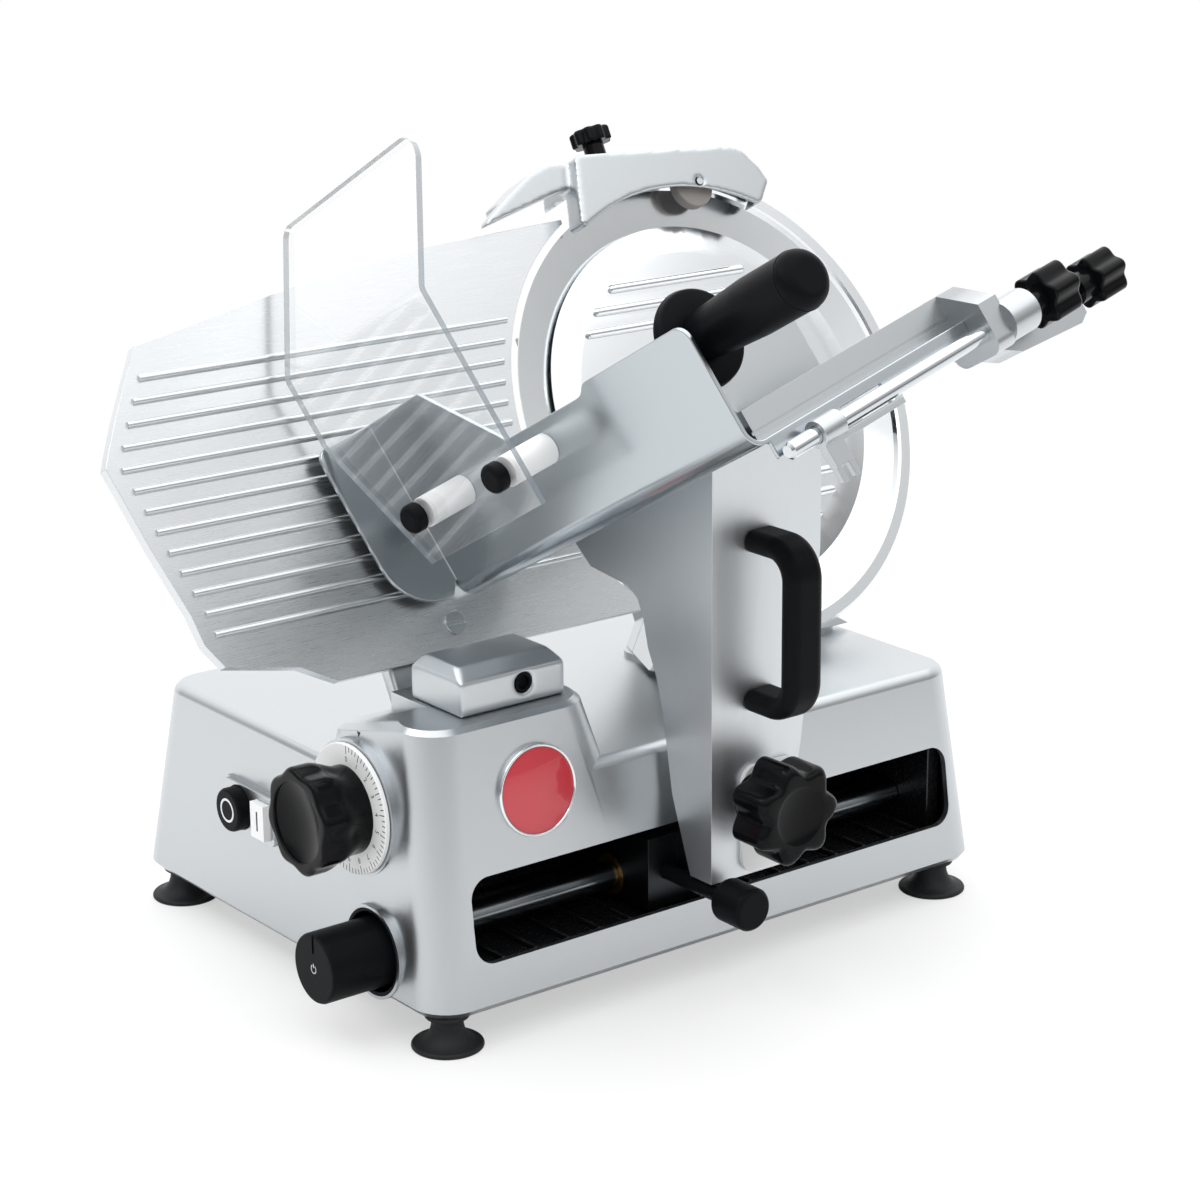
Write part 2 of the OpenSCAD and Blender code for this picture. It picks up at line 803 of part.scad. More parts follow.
module base_cover() {
  color("#c9ced2") row_frame() difference() {
    union() {
      difference() {
        union() {
          hull() {
            level(parting_z, 0, 0);
            for (a = [0, 30, 60, 90])
              level(deck_z - deck_r * (1 - sin(a)), deck_r * (1 - cos(a)), 1);
          }
          box_solid(-box_proud, parting_z + slab);
        }
        hull() {
          level(parting_z - lap, base_wall, 0);
          level(deck_z - base_wall, base_wall, 1);
        }
        box_solid(base_wall, deck_z - 2 * base_wall);
      }
      bar_x(dial_face, dial_y, dial_z, dial_boss_r, -wall_left(dial_z) + base_wall - dial_face);
      translate([plate_face, plate_y0, plate_z0])
        cube([-wall_left(button_z) + base_wall - plate_face,
              plate_y1 - plate_y0, plate_z1 - plate_z0]);
      translate([(seat_x0 + seat_x1) / 2, (seat_y0 + seat_y1) / 2, deck_z - base_wall])
        linear_extrude(housing_z - deck_z + base_wall)
          round_rect(seat_x1 - seat_x0, seat_y1 - seat_y0, seat_r);
      translate([block_x0 - 3, block_y0 - 3, box_back_z - lap])
        cube([block_w + 6, box_back - block_y0 - box_r, box_z - box_back_z + lap]);
    }
    slot_cut();
    bar_x(cup_x0 - lap, selector_y, selector_z, cup_r + fit, cup_x1 - cup_x0 + lap);
    bar_x(dial_face - lap, dial_y, dial_z, dial_shaft_r + fit, 6 * base_wall);
    bar_x(plate_face - lap, stop_y, button_z, stop_r + gap, 6 * base_wall);
    translate([plate_face - lap, start_y - start_w / 2 - gap, button_z - start_h / 2 - gap])
      cube([6 * base_wall, start_w + 2 * gap, start_h + 2 * gap]);
    translate([blade_x - deck_hole_w / 2, deck_hole_y0, deck_z - 3 * base_wall])
      cube([deck_hole_w, deck_hole_y1 - deck_hole_y0, 6 * base_wall]);
    gauge_clearance();
  }
}

// Room for the gauge arm over its whole travel, in the row's own place
module gauge_clearance() {
  translate([blade_x, blade_y, blade_z]) rotate([90 - tilt, 0, 0]) {
    translate([arm_u - tongue_w / 2 - gap, tongue_s - gap, -gauge_t - arm_t - gauge_travel - 2])
      cube([tongue_w + 2 * gap, tongue_h + 2 * gap,
            tongue_n + gauge_t + arm_t + gauge_travel + 4]);
    translate([arm_u - arm_w / 2 - lap, tongue_s - 2, -gauge_t - arm_t - gauge_travel - 2])
      cube([arm_w + 2 * lap, arm_top - tongue_s, arm_t + gauge_travel + gauge_t + 1]);
  }
}

module suction_feet() {
  color("#1e2124") row_frame()
    for (sx = [-1, 1], sy = [-1, 1])
      translate([sx * foot_x, sy * foot_y, 0])
        rotate_extrude() polygon(concat(
          [[0, 0], [foot_r, 0], [foot_r, 2.5]],
          [for (a = [0:15:90]) [foot_r - 1 - (foot_r - 1 - foot_neck_r) * sin(a),
                                3 + (base_z - 9) * (1 - cos(a))]],
          [[foot_neck_r, base_z - 4], [foot_collar_r, base_z - 3], [foot_collar_r, base_z],
           [0, base_z]]));
}

module chamber_liner() {
  color("#1b1d1f") row_frame() difference() {
    union() {
      translate([chamber_x0, chamber_front, floor_z])
        cube([chamber_x1 - chamber_x0, chamber_back - chamber_front, chamber_z - floor_z]);
      translate([chamber_x0, chamber_back - chamber_wall, floor_z])
        cube([chamber_x1 - chamber_x0, chamber_wall, chamber_top + chamber_wall - floor_z]);
      translate([chamber_x0, chamber_front, chamber_top])
        cube([chamber_x1 - chamber_x0, chamber_back - chamber_front, chamber_wall]);
      for (x = [chamber_x0, chamber_in1])
        translate([x, chamber_front, floor_z])
          cube([chamber_end, chamber_back - chamber_front, chamber_top + chamber_wall - floor_z]);
      for (x = [chamber_in0 + 8 : chamber_pitch : chamber_in1 - 8])
        translate([x, chamber_front, chamber_z - lap])
          cube([rib_w, rib_back - chamber_front, chamber_rib + lap]);
    }
    bar_x(chamber_x0 - lap, rod_y, rod_z, rod_r + fit, chamber_x1 - chamber_x0 + 2 * lap);
  }
}

module guide_rod() {
  color("#d5d8da") row_frame() bar_x(chamber_x0, rod_y, rod_z, rod_r, chamber_x1 - chamber_x0);
}

module support_rail() {
  color("#b5babd") row_frame() translate([chamber_in0, rail_y, chamber_z])
    cube([chamber_in1 - chamber_in0, rail_w, rail_w]);
}

module badge() {
  color("#c2303c") row_frame() translate([badge_x, -wall_front(badge_z) - box_proud, badge_z])
    rotate([90 - front_lean, 0, 0])
      rotate_extrude() polygon([[0, 0], [badge_r, 0], [badge_r, badge_t - 1.2],
                                [badge_r - 1, badge_t], [badge_r - 2.5, badge_t],
                                [badge_r - 3, badge_t - 0.8],
                                [badge_r * 0.6, badge_t + 0.2], [0, badge_t + 0.8]]);
}

module switch_plate() {
  color("#c4c9cc") row_frame() difference() {
    translate([plate_face - plate_t, (plate_y0 + plate_y1) / 2, (plate_z0 + plate_z1) / 2])
      rotate([0, 90, 0]) linear_extrude(plate_t)
        round_rect(plate_z1 - plate_z0, plate_y1 - plate_y0, 5);
    bar_x(plate_face - plate_t - lap, stop_y, button_z, stop_r + gap, plate_t + 2 * lap);
    translate([plate_face - plate_t - lap, start_y - start_w / 2 - gap, button_z - start_h / 2 - gap])
      cube([plate_t + 2 * lap, start_w + 2 * gap, start_h + 2 * gap]);
  }
}

module stop_button() {
  color("#1e2124") row_frame() translate([plate_face - plate_t - stop_out, stop_y, button_z])
    rotate([0, 90, 0]) difference() {
      rotate_extrude() polygon([[0, 0], [stop_r - 2, 0], [stop_r - 0.6, 0.6], [stop_r, 2],
                                [stop_r, stop_out + button_in], [0, stop_out + button_in]]);
      translate([0, 0, -lap]) difference() {
        cylinder(r = stop_r * 0.56, h = lap + 0.5);
        cylinder(r = stop_r * 0.44, h = lap + 0.5);
      }
    }
}

module start_button() {
  out = plate_face - plate_t - start_out;
  color("#eceeee") row_frame() difference() {
    translate([out, start_y - start_w / 2, button_z - start_h / 2])
      cube([start_out + button_in, start_w, start_h]);
    translate([out - lap, start_y - 0.8, button_z - start_h * 0.28])
      cube([lap + 0.5, 1.6, start_h * 0.56]);
  }
}

module selector_cup() {
  color("#2a2d30") row_frame() difference() {
    bar_x(cup_x0, selector_y, selector_z, cup_r, cup_x1 - cup_x0);
    bar_x(cup_x0 - lap, selector_y, selector_z, cup_r - cup_wall, cup_x1 - cup_x0 - cup_floor + lap);
    bar_x(cup_x0, selector_y, selector_z, selector_shaft_r + fit, cup_x1 - cup_x0 + lap);
  }
}

module selector_knob() {
  floor_x = cup_x1 - cup_floor - gap;
  color("#1e2124") row_frame() difference() {
    union() {
      translate([-selector_end, selector_y, selector_z]) rotate([0, 90, 0])
        rotate_extrude() polygon([[0, 0], [selector_r - 2, 0], [selector_r - 0.6, 0.6],
                                  [selector_r, 2], [selector_r, floor_x + selector_end],
                                  [0, floor_x + selector_end]]);
      bar_x(floor_x - lap, selector_y, selector_z, selector_shaft_r, cup_x1 - floor_x + lap);
    }
    translate([-selector_end - lap, selector_y - 1, selector_z + selector_r * 0.45])
      cube([lap + 1, 2, selector_r]);
  }
}

module cord_gland() {
  color("#1e2124") row_frame() difference() {
    union() {
      bar_y(gland_x, gland_face + 4, gland_z, gland_r + 2, 4, $fn = 6);
      bar_y(gland_x, gland_face + gland_out, gland_z, gland_r, gland_out);
    }
    bar_y(gland_x, gland_face + gland_out + lap, gland_z, gland_r - 5.5, gland_out + 2 * lap);
  }
}

module gauge_block() {
  b = block_bevel;
  color("#c3c8cb") row_frame() difference() {
    intersection() {
      translate([block_x0, 0, 0]) rotate([90, 0, 90]) linear_extrude(block_w)
        polygon([[block_y0, box_z], [block_y0 + block_d, box_z],
                 [block_y0 + block_d, box_z + block_h - 1.2 * b],
                 [block_y0 + block_d - b, box_z + block_h],
                 [block_y0 + 1.6 * b, box_z + block_h], [block_y0, box_z + block_h - b]]);
      translate([0, block_y0 + block_d + lap, 0]) rotate([90, 0, 0]) linear_extrude(block_d + 2 * lap)
        polygon([[block_x0, box_z], [block_x0 + block_w, box_z],
                 [block_x0 + block_w, box_z + block_h - b],
                 [block_x0 + block_w - 0.7 * b, box_z + block_h],
                 [block_x0 + 0.7 * b, box_z + block_h], [block_x0, box_z + block_h - b]]);
    }
    gauge_clearance();
    bar_y(block_x0 + block_w * 0.6, block_y0 + 8, box_z + block_h * 0.46, block_hole_r + fit, 8 + lap);
  }
}

module block_plug() {
  color("#1e2124") row_frame() difference() {
    bar_y(block_x0 + block_w * 0.6, block_y0 + 8, box_z + block_h * 0.46, block_hole_r, 8);
    bar_y(block_x0 + block_w * 0.6, block_y0 + 4, box_z + block_h * 0.46, block_hole_r - 2, 4 + lap);
  }
}

// Solid of the drive housing across the blade axis, between two depths
module housing_solid(n, t) {
  translate([0, 0, n]) cylinder(r = housing_r, h = t);
  translate([0, 0, n]) linear_extrude(t)
    polygon([[lap - housing_r, 0], [housing_r - lap, 0], [housing_r - 10, -120], [housing_r - 7, -146],
             [housing_r + 18, -164], [housing_r + 18, -190], [-housing_r - 34, -190],
             [-housing_r - 34, -158], [-housing_r, -120]]);
}

// Everything below the housing's seat
module below_seat() {
  rotate([tilt - 90, 0, 0]) translate([-beyond, -beyond, housing_z - blade_z - beyond])
    cube([2 * beyond, 2 * beyond, beyond]);
}

module drive_housing() {
  color("#c9ced2") blade_frame() difference() {
    housing_solid(cavity_n1, -housing_n - cavity_n1);
    below_seat();
    translate([0, 0, cavity_n1 - lap]) linear_extrude(cavity_n0 - cavity_n1 + lap) {
      circle(cavity_r);
      polygon([[-cavity_r, 0], [cavity_r, 0], [cavity_w, -60], [cavity_w, -190], [-cavity_w, -190],
               [-cavity_w, -60]]);
    }
    translate([0, 0, front_bearing_n - bearing_w - 3]) cylinder(r = bearing_r + fit, h = bearing_w + 3);
    translate([0, 0, front_bearing_n - lap]) cylinder(r = shaft_r + 2, h = housing_n);
  }
}

module belt_cover() {
  color("#b9bfc3") blade_frame() difference() {
    housing_solid(back_cover_n, back_cover_t);
    below_seat();
    translate([0, 0, rear_bearing_n - bearing_w]) cylinder(r = bearing_r + fit, h = bearing_w + lap);
    translate([0, 0, back_cover_n - lap]) cylinder(r = tie_r + fit, h = back_cover_t);
  }
}

module shaft_bearings() {
  color("#8f9498") blade_frame() for (n = [front_bearing_n, rear_bearing_n])
    translate([0, 0, n - bearing_w]) difference() {
      cylinder(r = bearing_r, h = bearing_w);
      translate([0, 0, -lap]) cylinder(r = shaft_r + fit, h = bearing_w + 2 * lap);
    }
}

module motor_mount() {
  color("#8f9498") blade_frame() difference() {
    translate([-mount_w / 2, -belt_c - 40, cavity_n1]) cube([mount_w, belt_c - 92, mount_t]);
    translate([0, -belt_c, cavity_n1 - lap]) cylinder(r = motor_shaft_r + 6, h = mount_t + 2 * lap);
  }
}

module motor() {
  color("#44484c") blade_frame() translate([0, -belt_c, cavity_n1 - motor_len]) difference() {
    rotate_extrude() polygon([[0, 0], [motor_r - 6, 0], [motor_r, 6], [motor_r, motor_len - 4],
                              [motor_r - 4, motor_len], [0, motor_len]]);
    translate([0, 0, motor_len - 14]) cylinder(r = motor_shaft_r + fit, h = 14 + lap);
  }
}

module motor_pulley() {
  color("#b5babd") blade_frame() translate([0, -belt_c, 0]) {
    translate([0, 0, pulley_n - pulley_w]) cylinder(r = motor_pulley_r, h = pulley_w);
    translate([0, 0, cavity_n1 - 12]) cylinder(r = motor_shaft_r, h = pulley_n - cavity_n1 + 12);
  }
}

// Solid round both pulleys
module belt_solid(top_r, low_r, trim, wide) {
  t = asin((low_r - top_r) / belt_c);
  a = top_r + trim;
  b = low_r + trim;
  cylinder(r = top_r, h = wide);
  translate([0, -belt_c, 0]) cylinder(r = low_r, h = wide);
  linear_extrude(wide) polygon([[a * cos(t), a * sin(t)], [b * cos(t), b * sin(t) - belt_c],
                                [-b * cos(t), b * sin(t) - belt_c], [-a * cos(t), a * sin(t)]]);
}

module drive_belt() {
  color("#1b1d1f") blade_frame() translate([0, 0, belt_n - belt_w]) difference() {
    belt_solid(pulley_r + gap + belt_t, motor_pulley_r + gap + belt_t, -trim, belt_w);
    translate([0, 0, -lap])
      belt_solid(pulley_r + gap, motor_pulley_r + gap, trim, belt_w + 2 * lap);
  }
}

// Bore that guides the sharpener's stem
module stem_bore() {
  translate([sharp_u, 0, post_n]) rotate([-90, 0, 0]) cylinder(r = stem_r + fit, h = 2 * hood_s);
}

module ring_guard() {
  reach = 2 * ring_r1;
  color("#cfd3d6") blade_frame() {
    difference() {
      rotate_extrude($fn = 128) polygon([[ring_r0, ring_back - 2], [ring_r1 - 2, ring_back - 2],
        [ring_r1, ring_back], [ring_r1, ring_n - 2], [ring_r1 - 2, ring_n],
        [ring_r0 + 1.5, ring_n], [ring_r0, ring_n - 1.5]]);
      translate([0, 0, -housing_n - lap]) linear_extrude(housing_n + ring_n + 2 * lap)
        polygon([[0, 0], [reach * cos(ring_a0), reach * sin(ring_a0)], [-reach, reach],
                 [-reach, -reach], [reach * cos(ring_a1), reach * sin(ring_a1)]]);
      stem_bore();
    }
    difference() {
      translate([sharp_u, ring_r0 + 2, post_n]) rotate([-90, 0, 0])
        cylinder(r = post_r, h = post_s - ring_r0 - 2);
      translate([0, 0, -housing_n]) cylinder(r = ring_r0 + 1, h = 2 * housing_n);
      stem_bore();
    }
    difference() {
      translate([0, 0, -housing_n]) linear_extrude(housing_n + ring_back)
        for (a = spokes) rotate(a) translate([0, -spoke_w / 2]) square([ring_r1 - 2, spoke_w]);
      translate([0, 0, -housing_n - lap]) cylinder(r = flange_r + 3, h = housing_n);
    }
  }
}

module blade_cover() {
  color("#d3d7da") blade_frame() difference() {
    union() {
      rotate_extrude($fn = 128) polygon([[0, cover_back], [cover_r - 2.5, cover_back],
        [cover_r, cover_back + 1.5], [cover_r, 0], [cover_r - 12, cover_n - 1],
        [cover_r - 20, cover_n], [0, cover_n]]);
      translate([0, 0, boss_n]) cylinder(r = boss_r, h = -boss_n);
      for (i = [0, 1, 2], side = [-1, 1]) {
        s = cover_rib_s + i * cover_rib_pitch;
        half = sqrt(pow(cover_r - 22, 2) - s * s);
        bar_x(-half, side * s, cover_n, cover_rib_r, 2 * half);
        for (e = [-1, 1]) translate([e * half, side * s, cover_n]) sphere(cover_rib_r);
      }
    }
    translate([0, 0, boss_n - lap]) cylinder(r = tie_r + fit, h = lap - boss_n - 1);
  }
}

module slice_deflector() {
  t = deflector_t;
  u0 = -housing_r;
  n = housing_n;
  color("#cfd3d6") blade_frame() {
    translate([0, deflector_s, 0]) rotate([-90, 0, 0]) linear_extrude(deflector_h)
      polygon([[u0 - t, n + 24], [u0 - t, n + 19], [u0 - 42, n + 7], [u0 - 64, n - 7],
               [u0 - 61, n - 9], [u0 - 40, n + 4], [u0, n + 15], [u0, n + 24]]);
    translate([u0 - t, deflector_s, cavity_n1]) cube([t, 2 - deflector_s - 4, -n - 18 - cavity_n1]);
  }
}

module blade() {
  color("#e3e6e8") blade_frame() rotate_extrude($fn = 128)
    polygon([[hub_r, blade_back], [blade_r - 34, blade_back], [blade_r - bevel_w, blade_back + 4],
             [blade_r, -edge_t], [blade_r, 0], [blade_r - 24, -3.8], [blade_r - 28, -blade_t],
             [hub_r, -blade_t]]);
}

module blade_shaft() {
  color("#9aa0a4") blade_frame() difference() {
    union() {
      translate([0, 0, flange_n]) cylinder(r = flange_r, h = blade_back - flange_n);
      translate([0, 0, shaft_end]) cylinder(r = shaft_r, h = flange_n - shaft_end + lap);
    }
    translate([0, 0, shaft_end - lap]) cylinder(r = tie_r + 1.5, h = -shaft_end);
    translate([0, 0, boss_n - 2]) cylinder(r = boss_bore, h = -boss_n);
  }
}

module blade_pulley() {
  color("#b5babd") blade_frame() translate([0, 0, pulley_n - pulley_w]) difference() {
    cylinder(r = pulley_r, h = pulley_w);
    translate([0, 0, -lap]) cylinder(r = shaft_r + fit, h = pulley_w + 2 * lap);
    for (a = [0:60:300]) rotate(a) translate([pulley_r * 0.66, 0, -lap])
      cylinder(r = pulley_r * 0.16, h = pulley_w + 2 * lap);
  }
}

module tie_rod() {
  n = back_cover_n - gap;
  color("#1e2124") blade_frame() {
    translate([0, 0, n - 2]) cylinder(r = tie_r, h = -n + cover_back + 2);
    translate([0, 0, n - tie_knob_t]) cylinder(r = tie_knob_r * 0.8, h = tie_knob_t);
    for (a = [0:60:300]) rotate(a) translate([tie_knob_r * 0.74, 0, n - tie_knob_t])
      cylinder(r = tie_knob_r * 0.26, h = tie_knob_t - 6);
  }
}

module gauge_plate() {
  color("#c3c8cb") blade_frame() difference() {
    union() {
      translate([0, 0, -gauge_t]) linear_extrude(gauge_t) polygon(gauge_outline);
      for (i = [0 : gauge_ribs - 1]) {
        s = gauge_rib_s - i * gauge_pitch;
        u0 = lookup(s, [for (q = gauge_left_edge) [q[1], q[0]]]) + gauge_margin;
        u1 = -sqrt(max(pow(gauge_rib_end_r, 2) - s * s, 1));
        translate([u0, s, 0]) rotate([0, 90, 0]) cylinder(r = gauge_rib_r, h = u1 - u0);
      }
    }
    translate([0, 0, -gauge_t - lap]) cylinder(r = gauge_cut_r, h = gauge_t + 4 * lap, $fn = 128);
  }
}

module gauge_arm() {
  color("#9aa0a4") blade_frame() {
    translate([arm_u - arm_w / 2, tongue_s, -gauge_t - arm_t])
      cube([arm_w, arm_top - lap - tongue_s - 3, arm_t]);
    translate([arm_u - tongue_w / 2, tongue_s, -gauge_t - lap])
      cube([tongue_w, tongue_h, tongue_n + gauge_t + lap]);
  }
}

module gauge_screw() {
  color("#d5d8da") blade_frame() translate([screw_u, screw_s, 0]) difference() {
    cylinder(r = screw_r, h = 1.6);
    translate([-screw_r, -0.9, 0.8]) cube([2 * screw_r, 1.8, lap]);
  }
}

module dial_disc() {
  color("#eef0f0") row_frame() bar_x(dial_face - gap - dial_t, dial_y, dial_z, dial_r, dial_t);
}

module dial_knob() {
  x = dial_face - gap - dial_t - dial_knob_len;
  dish = dial_knob_r * 1.6;
  color("#1e2124") row_frame() translate([x, dial_y, dial_z]) rotate([0, 90, 0]) difference() {
    rotate_extrude() polygon([[0, 0], [dial_knob_r - 3, 0], [dial_knob_r - 0.8, 0.8], [dial_knob_r, 3],
                              [dial_knob_r, dial_knob_len], [0, dial_knob_len]]);
    for (i = [0 : dial_flats - 1]) rotate(i * 360 / dial_flats + 11)
      translate([dial_knob_r * 1.62, 0, -lap])
        cylinder(r = dial_knob_r * 0.72, h = dial_knob_len - 4 + lap);
    translate([0, 0, 6 - dish]) sphere(dish, $fn = 96);
  }
}

module dial_shaft() {
  color("#9aa0a4") row_frame() {
    bar_x(dial_face - gap, dial_y, dial_z, dial_shaft_r, cam_x + cam_t + 4 - dial_face + gap);
    bar_x(cam_x, dial_y + 3, dial_z + 2, cam_r - 4, cam_t);
  }
}

module carriage_slider() {
  color("#5c6165") row_frame() difference() {
    union() {
      translate([slider_x0, slider_front, slider_z0])
        cube([slider_x1 - slider_x0, slider_back - slider_front, slider_z1 - slider_z0]);
      translate([arm_x0, foot_block_y, arm_z0])
        cube([arm_x1 - arm_x0, slider_front - foot_block_y + lap, arm_z1 - arm_z0]);
      bar_y(roller_x, rail_y + rail_w, roller_z, axle_r, rail_y + rail_w - slider_back + lap);
    }
    bar_x(slider_x0 - lap, rod_y, rod_z, bush_r + fit, slider_x1 - slider_x0 + 2 * lap);
    bar_y(pin_x, pin_end + lap, pin_z, pin_r + fit, pin_end - slider_front + 2 * lap);
  }
}

module slider_bushes() {
  color("#b08d4f") row_frame() for (x = [slider_x0, slider_x1 - bush_len]) difference() {
    bar_x(x, rod_y, rod_z, bush_r, bush_len);
    bar_x(x - lap, rod_y, rod_z, rod_r + fit, bush_len + 2 * lap);
  }
}

module support_roller() {
  color("#2a2d30") row_frame() difference() {
    bar_y(roller_x, rail_y + lap + roller_w, roller_z, roller_r, roller_w);
    bar_y(roller_x, rail_y + 2 * lap + roller_w, roller_z, axle_r + fit, roller_w + 2 * lap);
  }
}

// Everything above the underside of the tray floor
module above_floor() {
  translate([blade_x, blade_y, blade_z]) rotate([90 - tilt, 0, 0])
    translate([tray_u, tray_s, 0]) rotate([0, 0, lean])
      translate([-beyond, -sheet_t, -beyond]) cube(2 * beyond);
}

module carriage_leg() {
  side = [[leg_y, leg_z], [leg_y + 20, leg_z], [leg_y + 37, 122], [leg_y + 46, 172], [leg_y + 52, 193],
      [leg_y + 60, 209], [leg_y + 65, 228], [leg_y + 70, 238], [leg_y + 79, 244],
      [leg_y + 116, 248], [leg_y + 134, 262], [leg_y + 140, 420], [leg_y, 420]];
  x0 = leg_x;
  x1 = leg_x + leg_top_w;
  color("#c3c8cb") row_frame() difference() {
    union() {
      translate([x0, 0, 0]) rotate([90, 0, 90]) linear_extrude(leg_t) polygon(side);
      translate([0, leg_y + leg_t, 0]) rotate([90, 0, 0]) linear_extrude(leg_t)
        polygon([[x0, leg_z], [x0 + leg_foot_w - 3, leg_z], [x0 + leg_foot_w, leg_z + 4],
                 [x0 + leg_foot_w + 14, 150], [x1, 270], [x1, 420], [x0, 420]]);
      translate([x0, leg_y, leg_z])
        cube([leg_foot_w, foot_block_y - leg_y, foot_block_z1 - leg_z]);
    }
    above_floor();
    bar_y(star_x, foot_block_y + lap, star_z, stud_r + fit, foot_block_y - leg_y + 2 * lap);
  }
}

module clamp_plate() {
  color("#e4e6e6") row_frame() difference() {
    translate([star_x + 13, leg_y, leg_z + clamp_h / 2 + 2]) rotate([90, 0, 0]) linear_extrude(clamp_t)
      round_rect(clamp_w, clamp_h, clamp_r);
    bar_y(star_x, leg_y + lap, star_z, stud_r + fit, clamp_t + 2 * lap);
  }
}

// Flattened round section of the D handle
module grip_section() {
  square([grip_w - grip_t, grip_t], center = true);
  for (e = [-1, 1]) translate([e * (grip_w - grip_t) / 2, 0]) circle(grip_t / 2);
}

module d_handle() {
  y = leg_y - grip_out;
  color("#1e2124") row_frame() {
    translate([grip_x, y, grip_z0 + grip_bend]) linear_extrude(grip_len - 2 * grip_bend)
      grip_section();
    for (z = [grip_z0, grip_z0 + grip_len])
      translate([grip_x, leg_y, z]) rotate([90, 0, 0]) linear_extrude(grip_out - grip_bend)
        grip_section();
    translate([grip_x, y + grip_bend, grip_z0 + grip_bend]) rotate([-90, 0, -90])
      rotate_extrude(angle = 90) translate([grip_bend, 0]) rotate(90) grip_section();
    translate([grip_x, y + grip_bend, grip_z0 + grip_len - grip_bend]) rotate([90, 0, -90])
      rotate_extrude(angle = 90) translate([grip_bend, 0]) rotate(90) grip_section();
  }
}

// Outline of a star grip: the radius swings between its full size and the valleys
function star_outline(r, lobes) = let (steps = lobes * 12) [
  for (i = [0 : steps - 1])
    let (a = i * 360 / steps, swing = (1 - cos(lobes * a)) / 2)
    r * (1 - star_valley * swing) * [cos(a), sin(a)]];

// Star shaped grip with round lobes, standing on its hub
module star_grip(r, t, lobes, hub_radius, hub_length) {
  cylinder(r = hub_radius, h = hub_length + lap);
  translate([0, 0, hub_length]) difference() {
    linear_extrude(t) polygon(star_outline(r, lobes));
    translate([0, 0, t - 2 * lap]) cylinder(r1 = r * 0.4, r2 = r * 0.55, h = 3 * lap);
  }
}

module star_knob() {
  face = leg_y - clamp_t - gap;
  color("#1e2124") row_frame() translate([star_x, face, star_z]) rotate([90, 0, 0]) {
    star_grip(star_r, star_t, 7, star_r * 0.5, hub_len);
    translate([0, 0, face - foot_block_y]) cylinder(r = stud_r, h = foot_block_y - face + lap);
  }
}

module coupling_pin() {
  color("#3a3e42") row_frame() {
    bar_y(pin_x, pin_end, pin_z, pin_r, pin_end - cap_back + lap);
    translate([pin_x, cap_back, pin_z]) rotate([90, 0, 0])
      rotate_extrude() polygon([[0, 0], [cap_r - 2, 0], [cap_r, 2], [cap_r, cap_len - 3],
                                [cap_r - 1, cap_len - 1], [cap_r - 3, cap_len], [0, cap_len]]);
  }
}

// Outline of the tray wall: along the tray, and up
function wall_outline() = concat(
  [[tray_n0, bend_r - sheet_t], [tray_n0, wall_h], [wall_slope_n0, wall_h],
   [wall_slope_n1, wall_low]],
  arc([step_n0, wall_low + wall_step * 2], wall_step * 2, 270, 300, 3),
  arc([step_n1, wall_low - wall_step], wall_step * 2, 120, 90, 3),
  arc([tray_n1 - corner_r, wall_low + wall_step - corner_r], corner_r, 90, 0),
  [[tray_n1, bend_r - sheet_t]]);

module product_tray() {
  color("#aeb7bc") tray_frame() {
    across_tray(0, sheet_t) polygon(wall_outline());
    translate([bend_r, bend_r - sheet_t, tray_n0]) linear_extrude(tray_n1 - tray_n0)
      difference() {
        circle(bend_r);
        circle(bend_r - sheet_t);
        translate([0, -2 * bend_r]) square(4 * bend_r);
        translate([-2 * bend_r, 0]) square(4 * bend_r);
      }
    translate([bend_r, -sheet_t, tray_n0]) cube([tray_w - bend_r, sheet_t, tray_n1 - tray_n0]);
    translate([0, 0, tray_n0]) linear_extrude(sheet_t)
      polygon(concat([[sheet_t / 2, bend_r - sheet_t + flange_rise]],
                     [[sheet_t / 2, wall_h]],
                     arc([-flange_w + flange_r1, wall_h - flange_r1], flange_r1, 90, 180),
                     arc([-flange_w + flange_r0, flange_h0 + flange_r0], flange_r0, 180, 270)));
    difference() {
      translate([lip_p0, -sheet_t - lip_h, tray_n1 - sheet_t])
        cube([tray_w - lip_p0, lip_h + sheet_t / 2, sheet_t]);
      translate([70, -sheet_t - lip_h * 0.55, tray_n1 - 2 * sheet_t]) cube([34, 1.8, 4 * sheet_t]);
    }
  }
}

// Section of the guard sheet across the tray, with its round bend
function guard_profile() =
  let (p = -guard_gap - guard_t, c = [p + guard_t + guard_bend_r, guard_h1 - guard_half],
       outer = guard_bend_r + guard_t, d = (guard_up - guard_half) * [sin(guard_bend), cos(guard_bend)])
  concat([[p + guard_t, guard_h0], [p, guard_h0]],
         arc(c, outer, 180, 180 - guard_bend, 5),
         [c + outer * [-cos(guard_bend), sin(guard_bend)] + d,
      c + guard_bend_r * [-cos(guard_bend), sin(guard_bend)] + d],
     arc(c, guard_bend_r, 180 - guard_bend, 180, 5));

